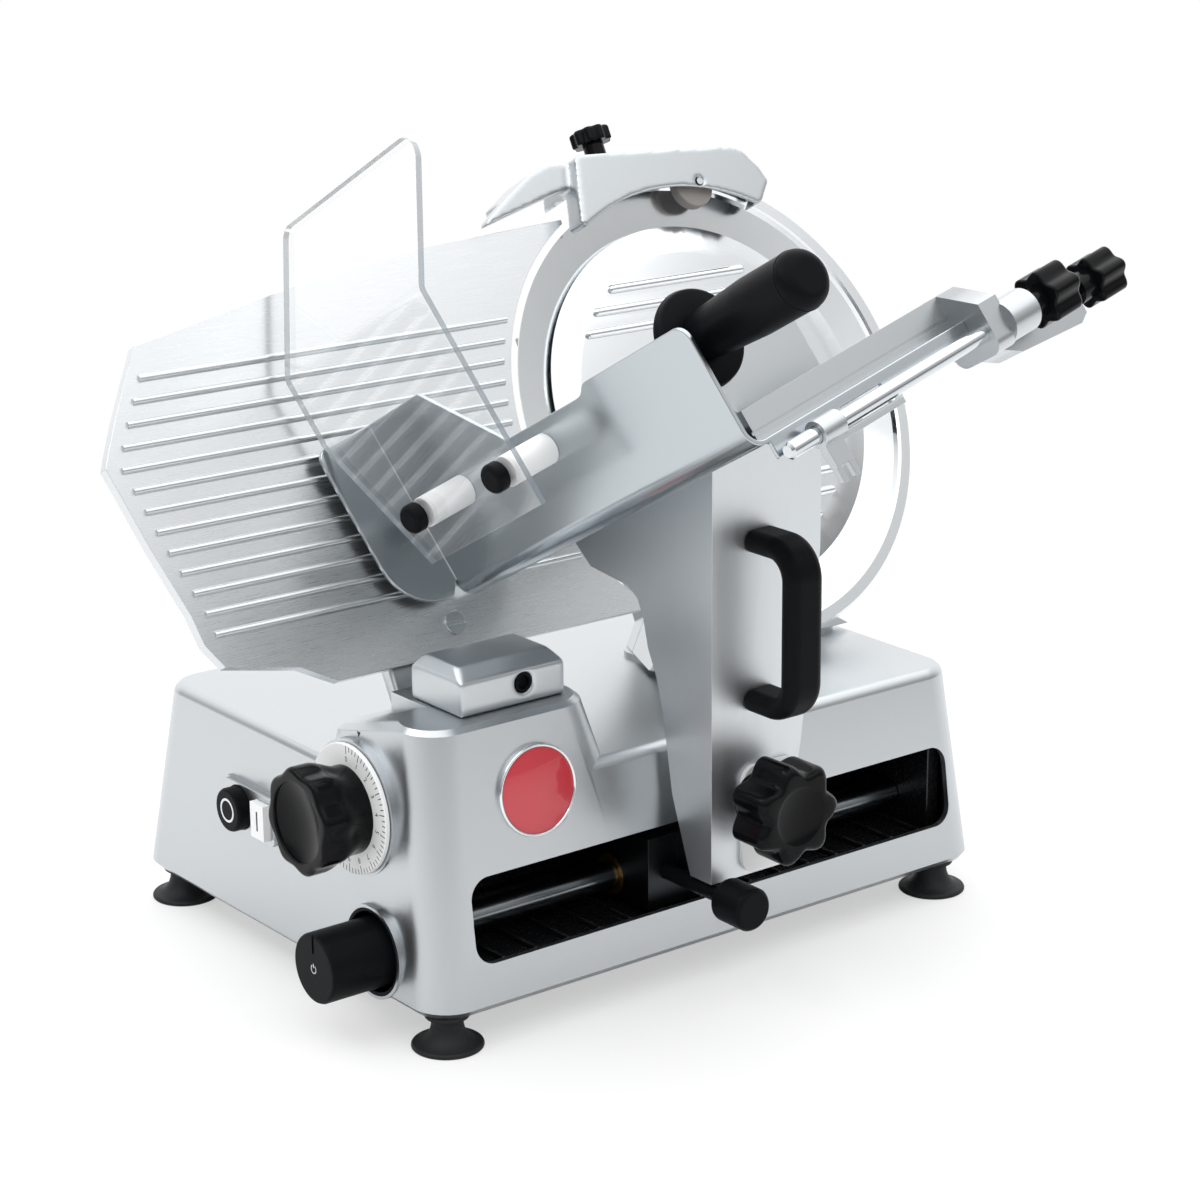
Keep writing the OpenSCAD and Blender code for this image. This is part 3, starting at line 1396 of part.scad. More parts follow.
module guard_sheet() {
  p = -guard_gap - guard_t;
  far = guard_n1 - guard_r;
  near = guard_n0 + guard_near_r;
  color("#dfe9ec", 0.4) tray_frame() difference() {
    translate([0, 0, guard_n0]) linear_extrude(guard_n1 - guard_n0) polygon(guard_profile());
    across_tray(p - lap, guard_t + 2 * lap)
      polygon([[guard_n0 + guard_past * guard_cut_n, guard_h0 - (guard_past - 1) * guard_cut_h],
               [guard_n0 - (guard_past - 1) * guard_cut_n, guard_h0 + guard_past * guard_cut_h],
               [guard_n0 - guard_cut_n, guard_h0 - guard_cut_h]]);
    translate([p + guard_t / 2, guard_h1, 0]) rotate([0, 0, -guard_bend])
      across_tray(-guard_t, 2 * guard_t) {
        polygon(concat(arc([far, guard_up - guard_r], guard_r + gap, 0, 90),
                       [[far, guard_up + lap], [guard_n1 + lap, guard_up + lap],
                        [guard_n1 + lap, guard_up - guard_r]]));
        polygon(concat(arc([near, guard_up - guard_near_r], guard_near_r + gap, 90, 180),
                       [[guard_n0 - lap, guard_up - guard_near_r], [guard_n0 - lap, guard_up + lap],
                        [near, guard_up + lap]]));
      }
  }
}

module guard_standoffs() {
  color("#eef0ef") tray_frame() for (q = standoffs)
    bar_x(-guard_gap, q[0], q[1], standoff_r, guard_gap);
}

module guard_caps() {
  p = -guard_gap - guard_t;
  color("#1e2124") tray_frame() for (q = standoffs)
    translate([p, q[0], q[1]]) rotate([0, -90, 0])
      rotate_extrude() polygon([[0, 0], [standoff_r - 0.5, 0], [standoff_r - 0.5, cap_t - 3],
                                [standoff_r - 1.4, cap_t - 1], [standoff_r - 3.5, cap_t],
                                [0, cap_t]]);
}

module pusher_rod() {
  color("#d5d8da") tray_frame() translate([push_rod_p, push_rod_h, rod_block_n0])
    cylinder(r = push_rod_r, h = rod_block_n1 + rod_block_t - rod_block_n0);
}

module rod_blocks() {
  color("#9aa0a4") tray_frame() for (n = [rod_block_n0, rod_block_n1]) difference() {
    translate([sheet_t, push_rod_h - rod_block_h / 2, n])
      cube([push_rod_p + push_rod_r + 2 - sheet_t, rod_block_h, rod_block_t]);
    translate([push_rod_p, push_rod_h, n - lap])
      cylinder(r = push_rod_r + fit, h = rod_block_t + 2 * lap);
  }
}

module pusher_plate() {
  back_n = sleeve_n0 + plate_thick;
  color("#b9bfc3") tray_frame() difference() {
    union() {
      translate([push_rod_p, push_rod_h, sleeve_n0]) cylinder(r = sleeve_r, h = sleeve_len);
      translate([push_rod_p, push_rod_h - rib_h / 2, sleeve_n0])
        cube([plate_p0 - push_rod_p + lap, rib_h, sleeve_len - rib_h / 2]);
      translate([plate_p0, plate_h0, sleeve_n0]) cube([plate_w, plate_h, plate_thick]);
      translate([plate_p0, 2 * plate_h0, back_n - lap])
        cube([column_w, push_h - 2 * plate_h0, column_len + lap]);
      translate([push_p, push_h, back_n]) cylinder(r = column_r, h = column_len);
      for (i = [0:6], j = [0:2]) {
        p = plate_p0 + tooth_edge + i * (plate_w - 2 * tooth_edge) / 6;
        h = plate_h0 + tooth_edge + j * (plate_h - 2 * tooth_edge) / 2;
        translate([p, h, sleeve_n0 - tooth_len])
          cylinder(r1 = tooth_tip, r2 = tooth_r, h = tooth_len + lap, $fn = 16);
      }
    }
    translate([push_rod_p, push_rod_h, sleeve_n0 - lap])
      cylinder(r = push_rod_r + fit, h = sleeve_len + 2 * lap);
  }
}

module hand_guard() {
  top = disc_t + collar_t;
  color("#1e2124") tray_frame() translate([push_p, push_h, disc_n - collar_t])
    rotate_extrude() polygon([[0, 0], [collar_r, 0], [collar_r, collar_t],
                              [hand_r - 2, collar_t - 1], [hand_r - 0.5, collar_t - 0.4],
                              [hand_r, collar_t + 1.5], [hand_r - 1, top - 2],
                              [hand_r - 3, top - 1.4], [push_r, top], [0, top]]);
}

module pusher_handle() {
  color("#1e2124") tray_frame() translate([push_p, push_h, disc_n + disc_t])
    rotate_extrude() polygon(concat(
      [[0, 0], [push_r - 3, 0], [push_r - 2, 10], [push_r, push_len * 0.5]],
      arc([push_r - end_r, push_len - end_r], end_r, 0, 90, 6), [[0, push_len]]));
}

module front_rail() {
  color("#9ba4a9") tray_frame() difference() {
    union() {
      translate([front_rail_p0, 0, front_rail_n])
        cube([tray_w - front_rail_p0, front_rail_h, front_rail_t]);
      across_tray(tray_w, bracket_t) polygon(concat(
        arc([bracket_n0 + bracket_r, bracket_h0 + bracket_r], bracket_r, 180, 270),
        arc([bracket_n1 - bracket_r, bracket_h0 + bracket_r], bracket_r, 270, 360),
        [[bracket_n1, 4], [front_rail_n + front_rail_t, front_rail_h], [bracket_n0, front_rail_h]]));
      bar_x(bracket_p1 - lap, -cross_h, cross_n, boss_or, boss_len + lap);
      translate([bracket_p1 - lap, bridge_h0, clamp_n1 - bracket_r])
        cube([boss_len - 2 + lap, bridge_h, cross_n - clamp_n1 + bracket_r]);
      translate([0, 0, clamp_n0]) linear_extrude(clamp_n1 - clamp_n0)
        polygon([[bracket_p1 - lap, -4], [bracket_p1 + 24, -2], [clamp_p1 - 6, -2], [clamp_p1, -8],
                 [clamp_p1, -34], [clamp_p1 - 8, -38], [bracket_p1 + 30, -34],
                 [bracket_p1 + 18, -28], [bracket_p1 - lap, -20]]);
    }
    translate([front_rail_p0 - lap, groove_h - 1, front_rail_n + front_rail_t - 1.5])
      cube([tray_w - front_rail_p0 + lap, 2, 2 * lap + 1]);
    bar_x(tray_w - lap, -cross_h, cross_n, cross_r + fit, bracket_t + boss_len + 2 * lap);
    bar_x(clamp_p1 - clamp_bore, clamp_axis_h, (clamp_n0 + clamp_n1) / 2, small_stud_r + fit,
          clamp_bore + lap);
  }
}

module cross_rod() {
  color("#b9c0c4") tray_frame() {
    translate([cross_p0, -cross_h, cross_n]) rotate([0, 90, 0])
      rotate_extrude() polygon([[0, 0], [cross_r - cross_bevel, 0], [cross_r, cross_bevel],
                                [cross_r, boss_p1 - cross_p0 + 2], [0, boss_p1 - cross_p0 + 2]]);
    translate([boss_p1 + gap, -cross_h, cross_n]) rotate([0, 90, 0])
      star_grip(small_star_r, small_star_t, 6, small_hub_r, small_hub_len);
  }
}

module product_claw() {
  top = -cross_h - cross_r;
  color("#9ba4a9") tray_frame() difference() {
    union() {
      bar_x(claw_p0, -cross_h, cross_n, cross_r + 3, claw_w + 4);
      translate([claw_p0, top - 5, cross_n - 3]) cube([strip_p1 - claw_p0, 4, 6]);
      translate([claw_p0, top - 16, cross_n - 3]) cube([claw_w, 16, 6]);
      for (e = [0, claw_w - 4]) translate([claw_p0 + e, top - 25, cross_n - 2]) cube([4, 10, 4]);
    }
    bar_x(claw_p0 - lap, -cross_h, cross_n, cross_r + fit, strip_p1);
  }
}

module clamp_knob() {
  n = (clamp_n0 + clamp_n1) / 2;
  color("#1e2124") tray_frame() {
    bar_x(clamp_p1 + 2 - clamp_bore, clamp_axis_h, n, small_stud_r, clamp_bore + clamp_gap);
    translate([clamp_p1 + clamp_gap, clamp_axis_h, n]) rotate([0, 90, 0])
      star_grip(small_star_r - 1.5, small_star_t, 6, small_hub_r, small_hub_len);
  }
}

// Outline of the sharpener hood across the blade axis
module hood_outline(inset) {
  polygon([[hood_u0 - 11 + inset, hood_low + 9], [hood_u0 + inset, hood_s - 2 - inset],
           [hood_u0 + 6 + inset, hood_top(hood_u0 + 6) - inset],
           [hood_u1 - 24, hood_top(hood_u1 - 24) - inset],
           [hood_u1 - 14 - inset, hood_s - 12 - inset], [hood_u1 - 4 - inset, hood_low + 30],
           [hood_u1 - inset, hood_low + 20], [hood_u1 - 10 - inset, hood_low + 7],
           [hood_u1 - 28, hood_low], [hood_u0, hood_low]]);
}

module sharpener_hood() {
  color("#cfd3d6") blade_frame() difference() {
    union() {
      difference() {
        translate([0, 0, -hood_n]) linear_extrude(2 * hood_n) hood_outline(0);
        translate([0, 0, -hood_n - lap]) linear_extrude(2 * hood_n + lap - hood_wall)
          hood_outline(hood_wall);
        translate([0, 0, -2 * hood_n]) cylinder(r = hood_clear_r, h = 2 * hood_n + ring_n + 2);
        translate([0, 0, -2 * hood_n]) cylinder(r = arch_r, h = 4 * hood_n);
      }
      translate([carrier_u0, carrier_s, carrier_n])
        cube([carrier_u1 - carrier_u0, hood_top(carrier_u1) - hood_wall / 2 - carrier_s, hood_wall]);
      translate([0, 0, beak_n1 - beak_wall]) linear_extrude(beak_wall)
        polygon(concat(beak_top, beak_low));
      translate([0, 0, beak_n0]) linear_extrude(beak_n1 - beak_n0 - lap)
        polygon(concat(beak_top, [for (i = [3:-1:0]) beak_top[i] - [0, hood_wall + lap]]));
    }
    stem_bore();
    translate([stone_u, stone_s, stone_n0]) cylinder(r = stone_pin_r + fit, h = 2 * hood_n);
    translate([rear_stone_u, rear_stone_s, carrier_n - lap])
      cylinder(r = stone_pin_r + fit, h = hood_wall + 2 * lap);
  }
}

module sharpener_knob() {
  color("#1e2124") blade_frame() translate([sharp_u, 0, post_n]) rotate([-90, 0, 0]) {
    translate([0, 0, stem_s0]) cylinder(r = stem_r, h = knob_s - stem_s0 + lap);
    translate([0, 0, knob_s]) cylinder(r = stem_r + 2, h = 9);
    translate([0, 0, knob_s + 8]) difference() {
      cylinder(r = sharp_knob_r, h = 17);
      for (a = [0:18:342]) rotate(a) translate([sharp_knob_r + 0.8, 0, -lap])
        cylinder(r = 1.6, h = 17 + 2 * lap, $fn = 16);
    }
  }
}

module grinding_stone() {
  color("#a9745b") blade_frame() translate([stone_u, stone_s, stone_n0]) {
    cylinder(r = stone_r, h = stone_t);
    cylinder(r = stone_pin_r, h = hood_n - stone_n0);
  }
}

module deburring_stone() {
  color("#a9745b") blade_frame() translate([rear_stone_u, rear_stone_s, carrier_n - 2 - stone_t]) {
    cylinder(r = rear_stone_r, h = stone_t);
    cylinder(r = stone_pin_r, h = stone_t + 2 + hood_wall);
  }
}

base_pan();
base_cover();
suction_feet();
chamber_liner();
guide_rod();
support_rail();
badge();
switch_plate();
selector_cup();
cord_gland();
gauge_block();
block_plug();
drive_housing();
belt_cover();
shaft_bearings();
motor_mount();
motor();
drive_belt();
ring_guard();
blade_cover();
slice_deflector();
blade();
blade_shaft();
blade_pulley();
motor_pulley();
tie_rod();
gauge_plate();
gauge_arm();
gauge_screw();
dial_disc();
dial_knob();
dial_shaft();
start_button();
stop_button();
selector_knob();
carriage_slider();
slider_bushes();
support_roller();
carriage_leg();
clamp_plate();
d_handle();
star_knob();
coupling_pin();
product_tray();
guard_sheet();
guard_standoffs();
guard_caps();
pusher_rod();
rod_blocks();
pusher_plate();
hand_guard();
pusher_handle();
front_rail();
cross_rod();
product_claw();
clamp_knob();
sharpener_hood();
sharpener_knob();
grinding_stone();
deburring_stone();
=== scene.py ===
"""Electric food slicer: surface finishes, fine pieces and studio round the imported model.

Run as a script in Blender 4.5. Lengths are metres in the model's own frame unless a name says mm.
"""
import json
import math

import bmesh
import bpy
import numpy as np
from mathutils import Matrix, Vector


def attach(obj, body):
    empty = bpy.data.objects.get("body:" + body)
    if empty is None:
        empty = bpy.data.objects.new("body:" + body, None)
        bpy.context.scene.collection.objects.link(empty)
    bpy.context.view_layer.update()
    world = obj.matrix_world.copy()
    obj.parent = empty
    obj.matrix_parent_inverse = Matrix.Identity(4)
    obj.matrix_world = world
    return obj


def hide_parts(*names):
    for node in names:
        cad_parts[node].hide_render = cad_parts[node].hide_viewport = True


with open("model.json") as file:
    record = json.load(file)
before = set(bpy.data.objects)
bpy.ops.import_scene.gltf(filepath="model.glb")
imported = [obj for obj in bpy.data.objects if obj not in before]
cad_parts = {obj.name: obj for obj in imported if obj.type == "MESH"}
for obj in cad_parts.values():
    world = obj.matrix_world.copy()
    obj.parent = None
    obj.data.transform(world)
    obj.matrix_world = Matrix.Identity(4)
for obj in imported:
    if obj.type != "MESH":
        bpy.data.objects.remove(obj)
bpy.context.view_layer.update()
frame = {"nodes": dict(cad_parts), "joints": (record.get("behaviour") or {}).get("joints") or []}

bl_info = {
    "name": "Food slicer finish",
    "version": (1, 0, 0),
    "blender": (4, 5, 0),
    "location": "View3D > Sidebar > Slicer",
    "description": "Dresses the packed food slicer with its metals, plastics, marks and studio",
    "category": "Object",
}

MM = 0.001
NODES = frame["nodes"]
JOINTS = {joint["name"]: joint for joint in frame["joints"]}


def joint_axis(name):
    """Unit vector of a joint's axis in the model's frame."""
    return np.array(JOINTS[name]["axis"], float)


def joint_point(name):
    """A point on a hinge's axis in the model's frame, in metres."""
    return np.array(JOINTS[name]["pos_m"], float)


def axes(out, lead):
    """Columns of a frame whose third axis is out and whose first axis leans towards lead."""
    third = np.asarray(out, float) / np.linalg.norm(out)
    first = np.asarray(lead, float) - third * np.dot(lead, third)
    first /= np.linalg.norm(first)
    return np.column_stack([first, np.cross(third, first), third])


# Directions of the room
RIGHT = np.array([1.0, 0.0, 0.0])
LEFT = np.array([-1.0, 0.0, 0.0])
FRONT = np.array([0.0, -1.0, 0.0])
UP = np.array([0.0, 0.0, 1.0])
# Directions of the machine: out of the blade, up along the blade, along and up from the tray floor
BLADE_AXIS = joint_axis("blade_spin")
BLADE_UP = joint_axis("sharpener_lift")
BLADE_CENTRE = joint_point("blade_spin")
TRAY_ALONG = joint_axis("clamp_turn")
TRAY_UP = np.cross(BLADE_AXIS, TRAY_ALONG)
# Frames that look out of the left wall, the front, the blade, the tray, the tray's end and the hood
LEFT_TURN = axes(LEFT, UP)
FRONT_TURN = axes(FRONT, RIGHT)
BLADE_TURN = axes(BLADE_AXIS, RIGHT)
TRAY_TURN = axes(BLADE_AXIS, TRAY_ALONG)
TRAY_END_TURN = axes(TRAY_ALONG, -BLADE_AXIS)
HOOD_TURN = axes(BLADE_UP, BLADE_AXIS)


def linear(code):
    """Linear RGBA of an sRGB hex colour."""
    parts = [int(code[i:i + 2], 16) / 255 for i in (1, 3, 5)]
    return tuple(c / 12.92 if c <= 0.04045 else ((c + 0.055) / 1.055) ** 2.4 for c in parts) + (1.0,)


LENGTH = {"unit": "LENGTH", "precision": 5}
COLOUR = {"subtype": "COLOR", "size": 4, "min": 0, "max": 1}


class SlicerSizes(bpy.types.PropertyGroup):
    """Sizes that a user would change."""

    edge: bpy.props.FloatProperty(
        name="Edge rounding", description="Radius of the rounded edges on machined and cast pieces",
        default=0.8 * MM, **LENGTH)
    sheet_edge: bpy.props.FloatProperty(
        name="Sheet edge rounding", description="Radius of the dressed edges of sheet metal",
        default=0.5 * MM, **LENGTH)
    moulded_edge: bpy.props.FloatProperty(
        name="Moulded edge rounding", description="Radius of the rounded edges on moulded pieces",
        default=1.2 * MM, **LENGTH)
    grain: bpy.props.FloatProperty(
        name="Brushing line", description="Spacing of the brushing lines, drawn as coarse as they show",
        default=0.6 * MM, **LENGTH)
    divisions: bpy.props.IntProperty(
        name="Dial divisions", description="Numbered divisions on the thickness dial", default=15)
    ticks: bpy.props.IntProperty(
        name="Ticks per division", description="Short lines from one numbered line to the next", default=4)


class SlicerColours(bpy.types.PropertyGroup):
    """Colours that a user would change."""

    aluminium: bpy.props.FloatVectorProperty(
        name="Aluminium", description="Ground and anodised castings", default=linear("#BBBFC2"), **COLOUR)
    gauge: bpy.props.FloatVectorProperty(
        name="Gauge plate", description="Extruded gauge plate", default=linear("#CCCFD1"), **COLOUR)
    bright: bpy.props.FloatVectorProperty(
        name="Bright metal", description="Ring guard, blade and cover", default=linear("#DDE0E2"), **COLOUR)
    tray: bpy.props.FloatVectorProperty(
        name="Tray", description="Satin sheet of the product tray", default=linear("#B2B8BC"), **COLOUR)
    leg: bpy.props.FloatVectorProperty(
        name="Leg", description="Brushed sheet of the carriage leg", default=linear("#D0D4D7"), **COLOUR)
    black: bpy.props.FloatVectorProperty(
        name="Black plastic", description="Moulded knobs and handles", default=linear("#0E1012"), **COLOUR)
    white: bpy.props.FloatVectorProperty(
        name="White plastic", description="Dial, spacers and button", default=linear("#EDEEEE"), **COLOUR)
    badge: bpy.props.FloatVectorProperty(
        name="Badge", description="Enamel of the round badge", default=linear("#C22F3B"), **COLOUR)


def sizes():
    """The scene's slicer sizes."""
    return bpy.context.scene.slicer_sizes


def colours():
    """The scene's slicer colours."""
    return bpy.context.scene.slicer_colours


# Noise mostly keeps between these
NOISE_SPAN = (0.3, 0.7)
# Brushing lines run about this many times further than they are wide
GRAIN_RUN = 60.0
# Stretch that takes an axis out of a pattern
FLAT_RUN = 1e6
# Share that both faces of an acrylic sheet mirror head-on, and share of the view that its edges hide under
# their painted shade
ACRYLIC_FACE = 0.08
ACRYLIC_EDGE_SHADE = 0.75
# Leans of the surface between which a clear face turns into an edge painted grey, painted shade for the
# dark that refraction gives it
ACRYLIC_LEAN = (0.68, 0.74)


def add(tree, kind, inputs=(), **settings):
    """Adds a node. settings are its attributes, and inputs maps its sockets to values, sockets or nodes.

    A node as an input stands for its first output.
    """
    made = tree.nodes.new(kind)
    for key, value in settings.items():
        setattr(made, key, value)
    for key, value in dict(inputs).items():
        if isinstance(value, bpy.types.Node):
            value = value.outputs[0]
        if isinstance(value, bpy.types.NodeSocket):
            tree.links.new(value, made.inputs[key])
        else:
            made.inputs[key].default_value = value
    return made


def new_material(name, **surface):
    """A material with one principled shader, and that shader's node tree."""
    made = bpy.data.materials.new(name)
    made.use_nodes = True
    tree = made.node_tree
    tree.nodes.clear()
    shader = add(tree, "ShaderNodeBsdfPrincipled", {k.replace("_", " "): v for k, v in surface.items()})
    add(tree, "ShaderNodeOutputMaterial", {"Surface": shader})
    return made, tree, shader


def in_frame(tree, origin=(0.0, 0.0, 0.0), turn=np.eye(3), stretch=(1.0, 1.0, 1.0)):
    """Object coordinates seen from a turned frame, stretched along its axes."""
    place = add(tree, "ShaderNodeTexCoord").outputs["Object"]
    return add(tree, "ShaderNodeMapping", {
        "Vector": place, "Location": tuple(origin), "Rotation": Matrix(turn.tolist()).to_euler(),
        "Scale": stretch}, vector_type="TEXTURE")


def patterned(tree, shader, height, roughness, depth):
    """Lets a pattern from 0 to 1 set the roughness between two values and a bump of a real depth."""
    spread = add(tree, "ShaderNodeMapRange", {
        "Value": height, "From Min": NOISE_SPAN[0], "From Max": NOISE_SPAN[1],
        "To Min": roughness[0], "To Max": roughness[1]})
    bump = add(tree, "ShaderNodeBump", {"Height": height, "Distance": depth})
    tree.links.new(spread.outputs[0], shader.inputs["Roughness"])
    tree.links.new(bump.outputs[0], shader.inputs["Normal"])


def give_grain(tree, shader, spacing, roughness, depth, detail=2.0, **place):
    """Roughness and bump from noise whose cells are one spacing wide, in a frame that place describes."""
    noise = add(tree, "ShaderNodeTexNoise",
                {"Vector": in_frame(tree, **place), "Scale": 1 / spacing, "Detail": detail})
    patterned(tree, shader, noise, roughness, depth)


def grained(name, surface, **grain):
    """A material with a grain; surface holds the shader's own values."""
    made, tree, shader = new_material(name, **surface)
    give_grain(tree, shader, **grain)
    return made


def metal(name, colour, **grain):
    """A bare metal of one colour with a grain."""
    return grained(name, {"Metallic": 1.0, "Base_Color": colour}, **grain)


def anodised_aluminium():
    """Linished and anodised casting: an even pale grey, soft broad reflections and a fine blasted grain."""
    return metal("anodised_aluminium", colours().aluminium, spacing=2 * sizes().grain, detail=1.0,
                 roughness=(0.29, 0.34), depth=0.001 * MM)


def black_anodised():
    """Slider: dark satin metal, much darker than the castings."""
    return metal("black_anodised", linear("#3A3D40"), spacing=2 * sizes().grain, roughness=(0.35, 0.42),
                 depth=0.002 * MM)


def gauge_aluminium():
    """Extruded and anodised gauge plate: faint draw lines along its ribs."""
    return metal("gauge_aluminium", colours().gauge, spacing=sizes().grain, roughness=(0.26, 0.32),
                 depth=0.0005 * MM, origin=BLADE_CENTRE, turn=BLADE_TURN, stretch=(GRAIN_RUN, 1.0, 1.0))


def tray_stainless():
    """Satin sheet of the product tray: long fine lines away from the blade draw reflections out."""
    return metal("tray_stainless", colours().tray, spacing=sizes().grain, roughness=(0.21, 0.23),
                 depth=0.0002 * MM, origin=BLADE_CENTRE, turn=TRAY_TURN, stretch=(1.0, 1.0, GRAIN_RUN))


def leg_stainless():
    """Sheet of the carriage leg: duller than the tray and brushed upwards."""
    return metal("leg_stainless", colours().leg, spacing=sizes().grain, roughness=(0.4, 0.48),
                 depth=0.0008 * MM, origin=BLADE_CENTRE, stretch=(1.0, 1.0, GRAIN_RUN))


def turned_metal(name, roughness):
    """Lathe-turned metal: fine rings about the blade's axis that fan the highlights out."""
    made, tree, shader = new_material(name, Metallic=1.0, Base_Color=colours().bright)
    flat = in_frame(tree, BLADE_CENTRE, BLADE_TURN, (1.0, 1.0, FLAT_RUN))
    radius = add(tree, "ShaderNodeVectorMath", {0: flat}, operation="LENGTH").outputs["Value"]
    rings = add(tree, "ShaderNodeTexNoise", {"W": radius, "Scale": 1 / sizes().grain, "Detail": 2.0},
                noise_dimensions="1D")
    patterned(tree, shader, rings, roughness, depth=0.003 * MM)
    return made


def turned_stainless():
    """Blade and its cover: bright turned stainless."""
    return turned_metal("turned_stainless", roughness=(0.12, 0.22))


def turned_aluminium():
    """Ring guard: turned and polished casting."""
    return turned_metal("turned_aluminium", roughness=(0.16, 0.26))


def ground_steel():
    """Ground and polished bar: clear reflections with faint drawn lines."""
    return metal("ground_steel", linear("#C9CDD0"), spacing=sizes().grain, roughness=(0.1, 0.18),
                 depth=0.002 * MM, stretch=(GRAIN_RUN, 1.0, 1.0))


def oiled_steel():
    """Steel bar inside the slot, its colour darkened as painted shade of the slot: darker than the bright
    bars, with one drawn-out highlight.
    """
    # Painted shade: the darker grey stands in for the shade inside the slot
    return metal("oiled_steel", linear("#878C90"), spacing=sizes().grain, roughness=(0.18, 0.26),
                 depth=0.002 * MM, stretch=(GRAIN_RUN, 1.0, 1.0))


def bright_trim():
    """Bright metal trim: a narrow mirror line."""
    return metal("bright_trim", linear("#DADDE0"), spacing=2 * MM, roughness=(0.1, 0.16), depth=0.002 * MM)


def sintered_bronze():
    """Oil-filled bronze bush: warm and a little open-grained."""
    return metal("sintered_bronze", linear("#B08A4F"), spacing=0.8 * MM, detail=3.0, roughness=(0.3, 0.45),
                 depth=0.02 * MM)


def moulded_nylon():
    """Black glass-filled nylon: a soft sheen over a fine spark-eroded grain."""
    surface = {"Base_Color": colours().black, "IOR": 1.53, "Specular_IOR_Level": 0.05}
    return grained("moulded_nylon", surface, spacing=1.0 * MM, detail=3.0, roughness=(0.34, 0.46),
                   depth=0.012 * MM)


def glossy_phenolic():
    """Black pressed phenolic: near-mirror gloss, a little uneven as pressed pieces are."""
    surface = {"Base_Color": linear("#0B0C0E"), "IOR": 1.6, "Specular_IOR_Level": 0.07}
    return grained("glossy_phenolic", surface, spacing=9 * MM, roughness=(0.14, 0.22), depth=0.01 * MM)


def white_acetal():
    """White acetal: smooth and faintly waxy."""
    surface = {"Base_Color": colours().white, "IOR": 1.48}
    return grained("white_acetal", surface, spacing=1.5 * MM, roughness=(0.3, 0.4), depth=0.006 * MM)


def black_abs():
    """Black liner of the base: a smooth moulding with a wet-looking sheen."""
    surface = {"Base_Color": linear("#141517"), "IOR": 1.53}
    return grained("black_abs", surface, spacing=3 * MM, roughness=(0.22, 0.32), depth=0.01 * MM)


def soft_rubber():
    """Soft black rubber: dull with a dusty grain."""
    surface = {"Base_Color": linear("#1B1D1F"), "IOR": 1.52, "Specular_IOR_Level": 0.25}
    return grained("soft_rubber", surface, spacing=1.2 * MM, detail=3.0, roughness=(0.5, 0.68),
                   depth=0.015 * MM)


def stoved_enamel():
    """Red enamel under a clear coat: deep even colour with one clear reflection on top."""
    surface = {"Base_Color": colours().badge, "IOR": 1.5, "Coat_Weight": 0.6, "Coat_Roughness": 0.05}
    return grained("stoved_enamel", surface, spacing=2 * MM, roughness=(0.3, 0.38), depth=0.004 * MM)


def painted_iron():
    """Painted iron of the motor and its mount: dark grey with a slight orange-peel."""
    surface = {"Base_Color": linear("#3A3D41"), "Metallic": 0.4}
    return grained("painted_iron", surface, spacing=2 * MM, detail=3.0, roughness=(0.4, 0.55),
                   depth=0.03 * MM)


def abrasive_stone():
    """Bonded corundum: pale grey grit."""
    surface = {"Base_Color": linear("#8E8A86")}
    return grained("abrasive_stone", surface, spacing=0.6 * MM, detail=4.0, roughness=(0.75, 0.95),
                   depth=0.15 * MM)


def black_print():
    """Printed black ink: flat, with the small unevenness of pad printing."""
    surface = {"Base_Color": linear("#17181A")}
    return grained("black_print", surface, spacing=0.5 * MM, roughness=(0.5, 0.65), depth=0.004 * MM)


def pale_print():
    """Printed pale ink on black plastic."""
    surface = {"Base_Color": linear("#DDE3E8")}
    return grained("pale_print", surface, spacing=0.5 * MM, roughness=(0.45, 0.6), depth=0.004 * MM)


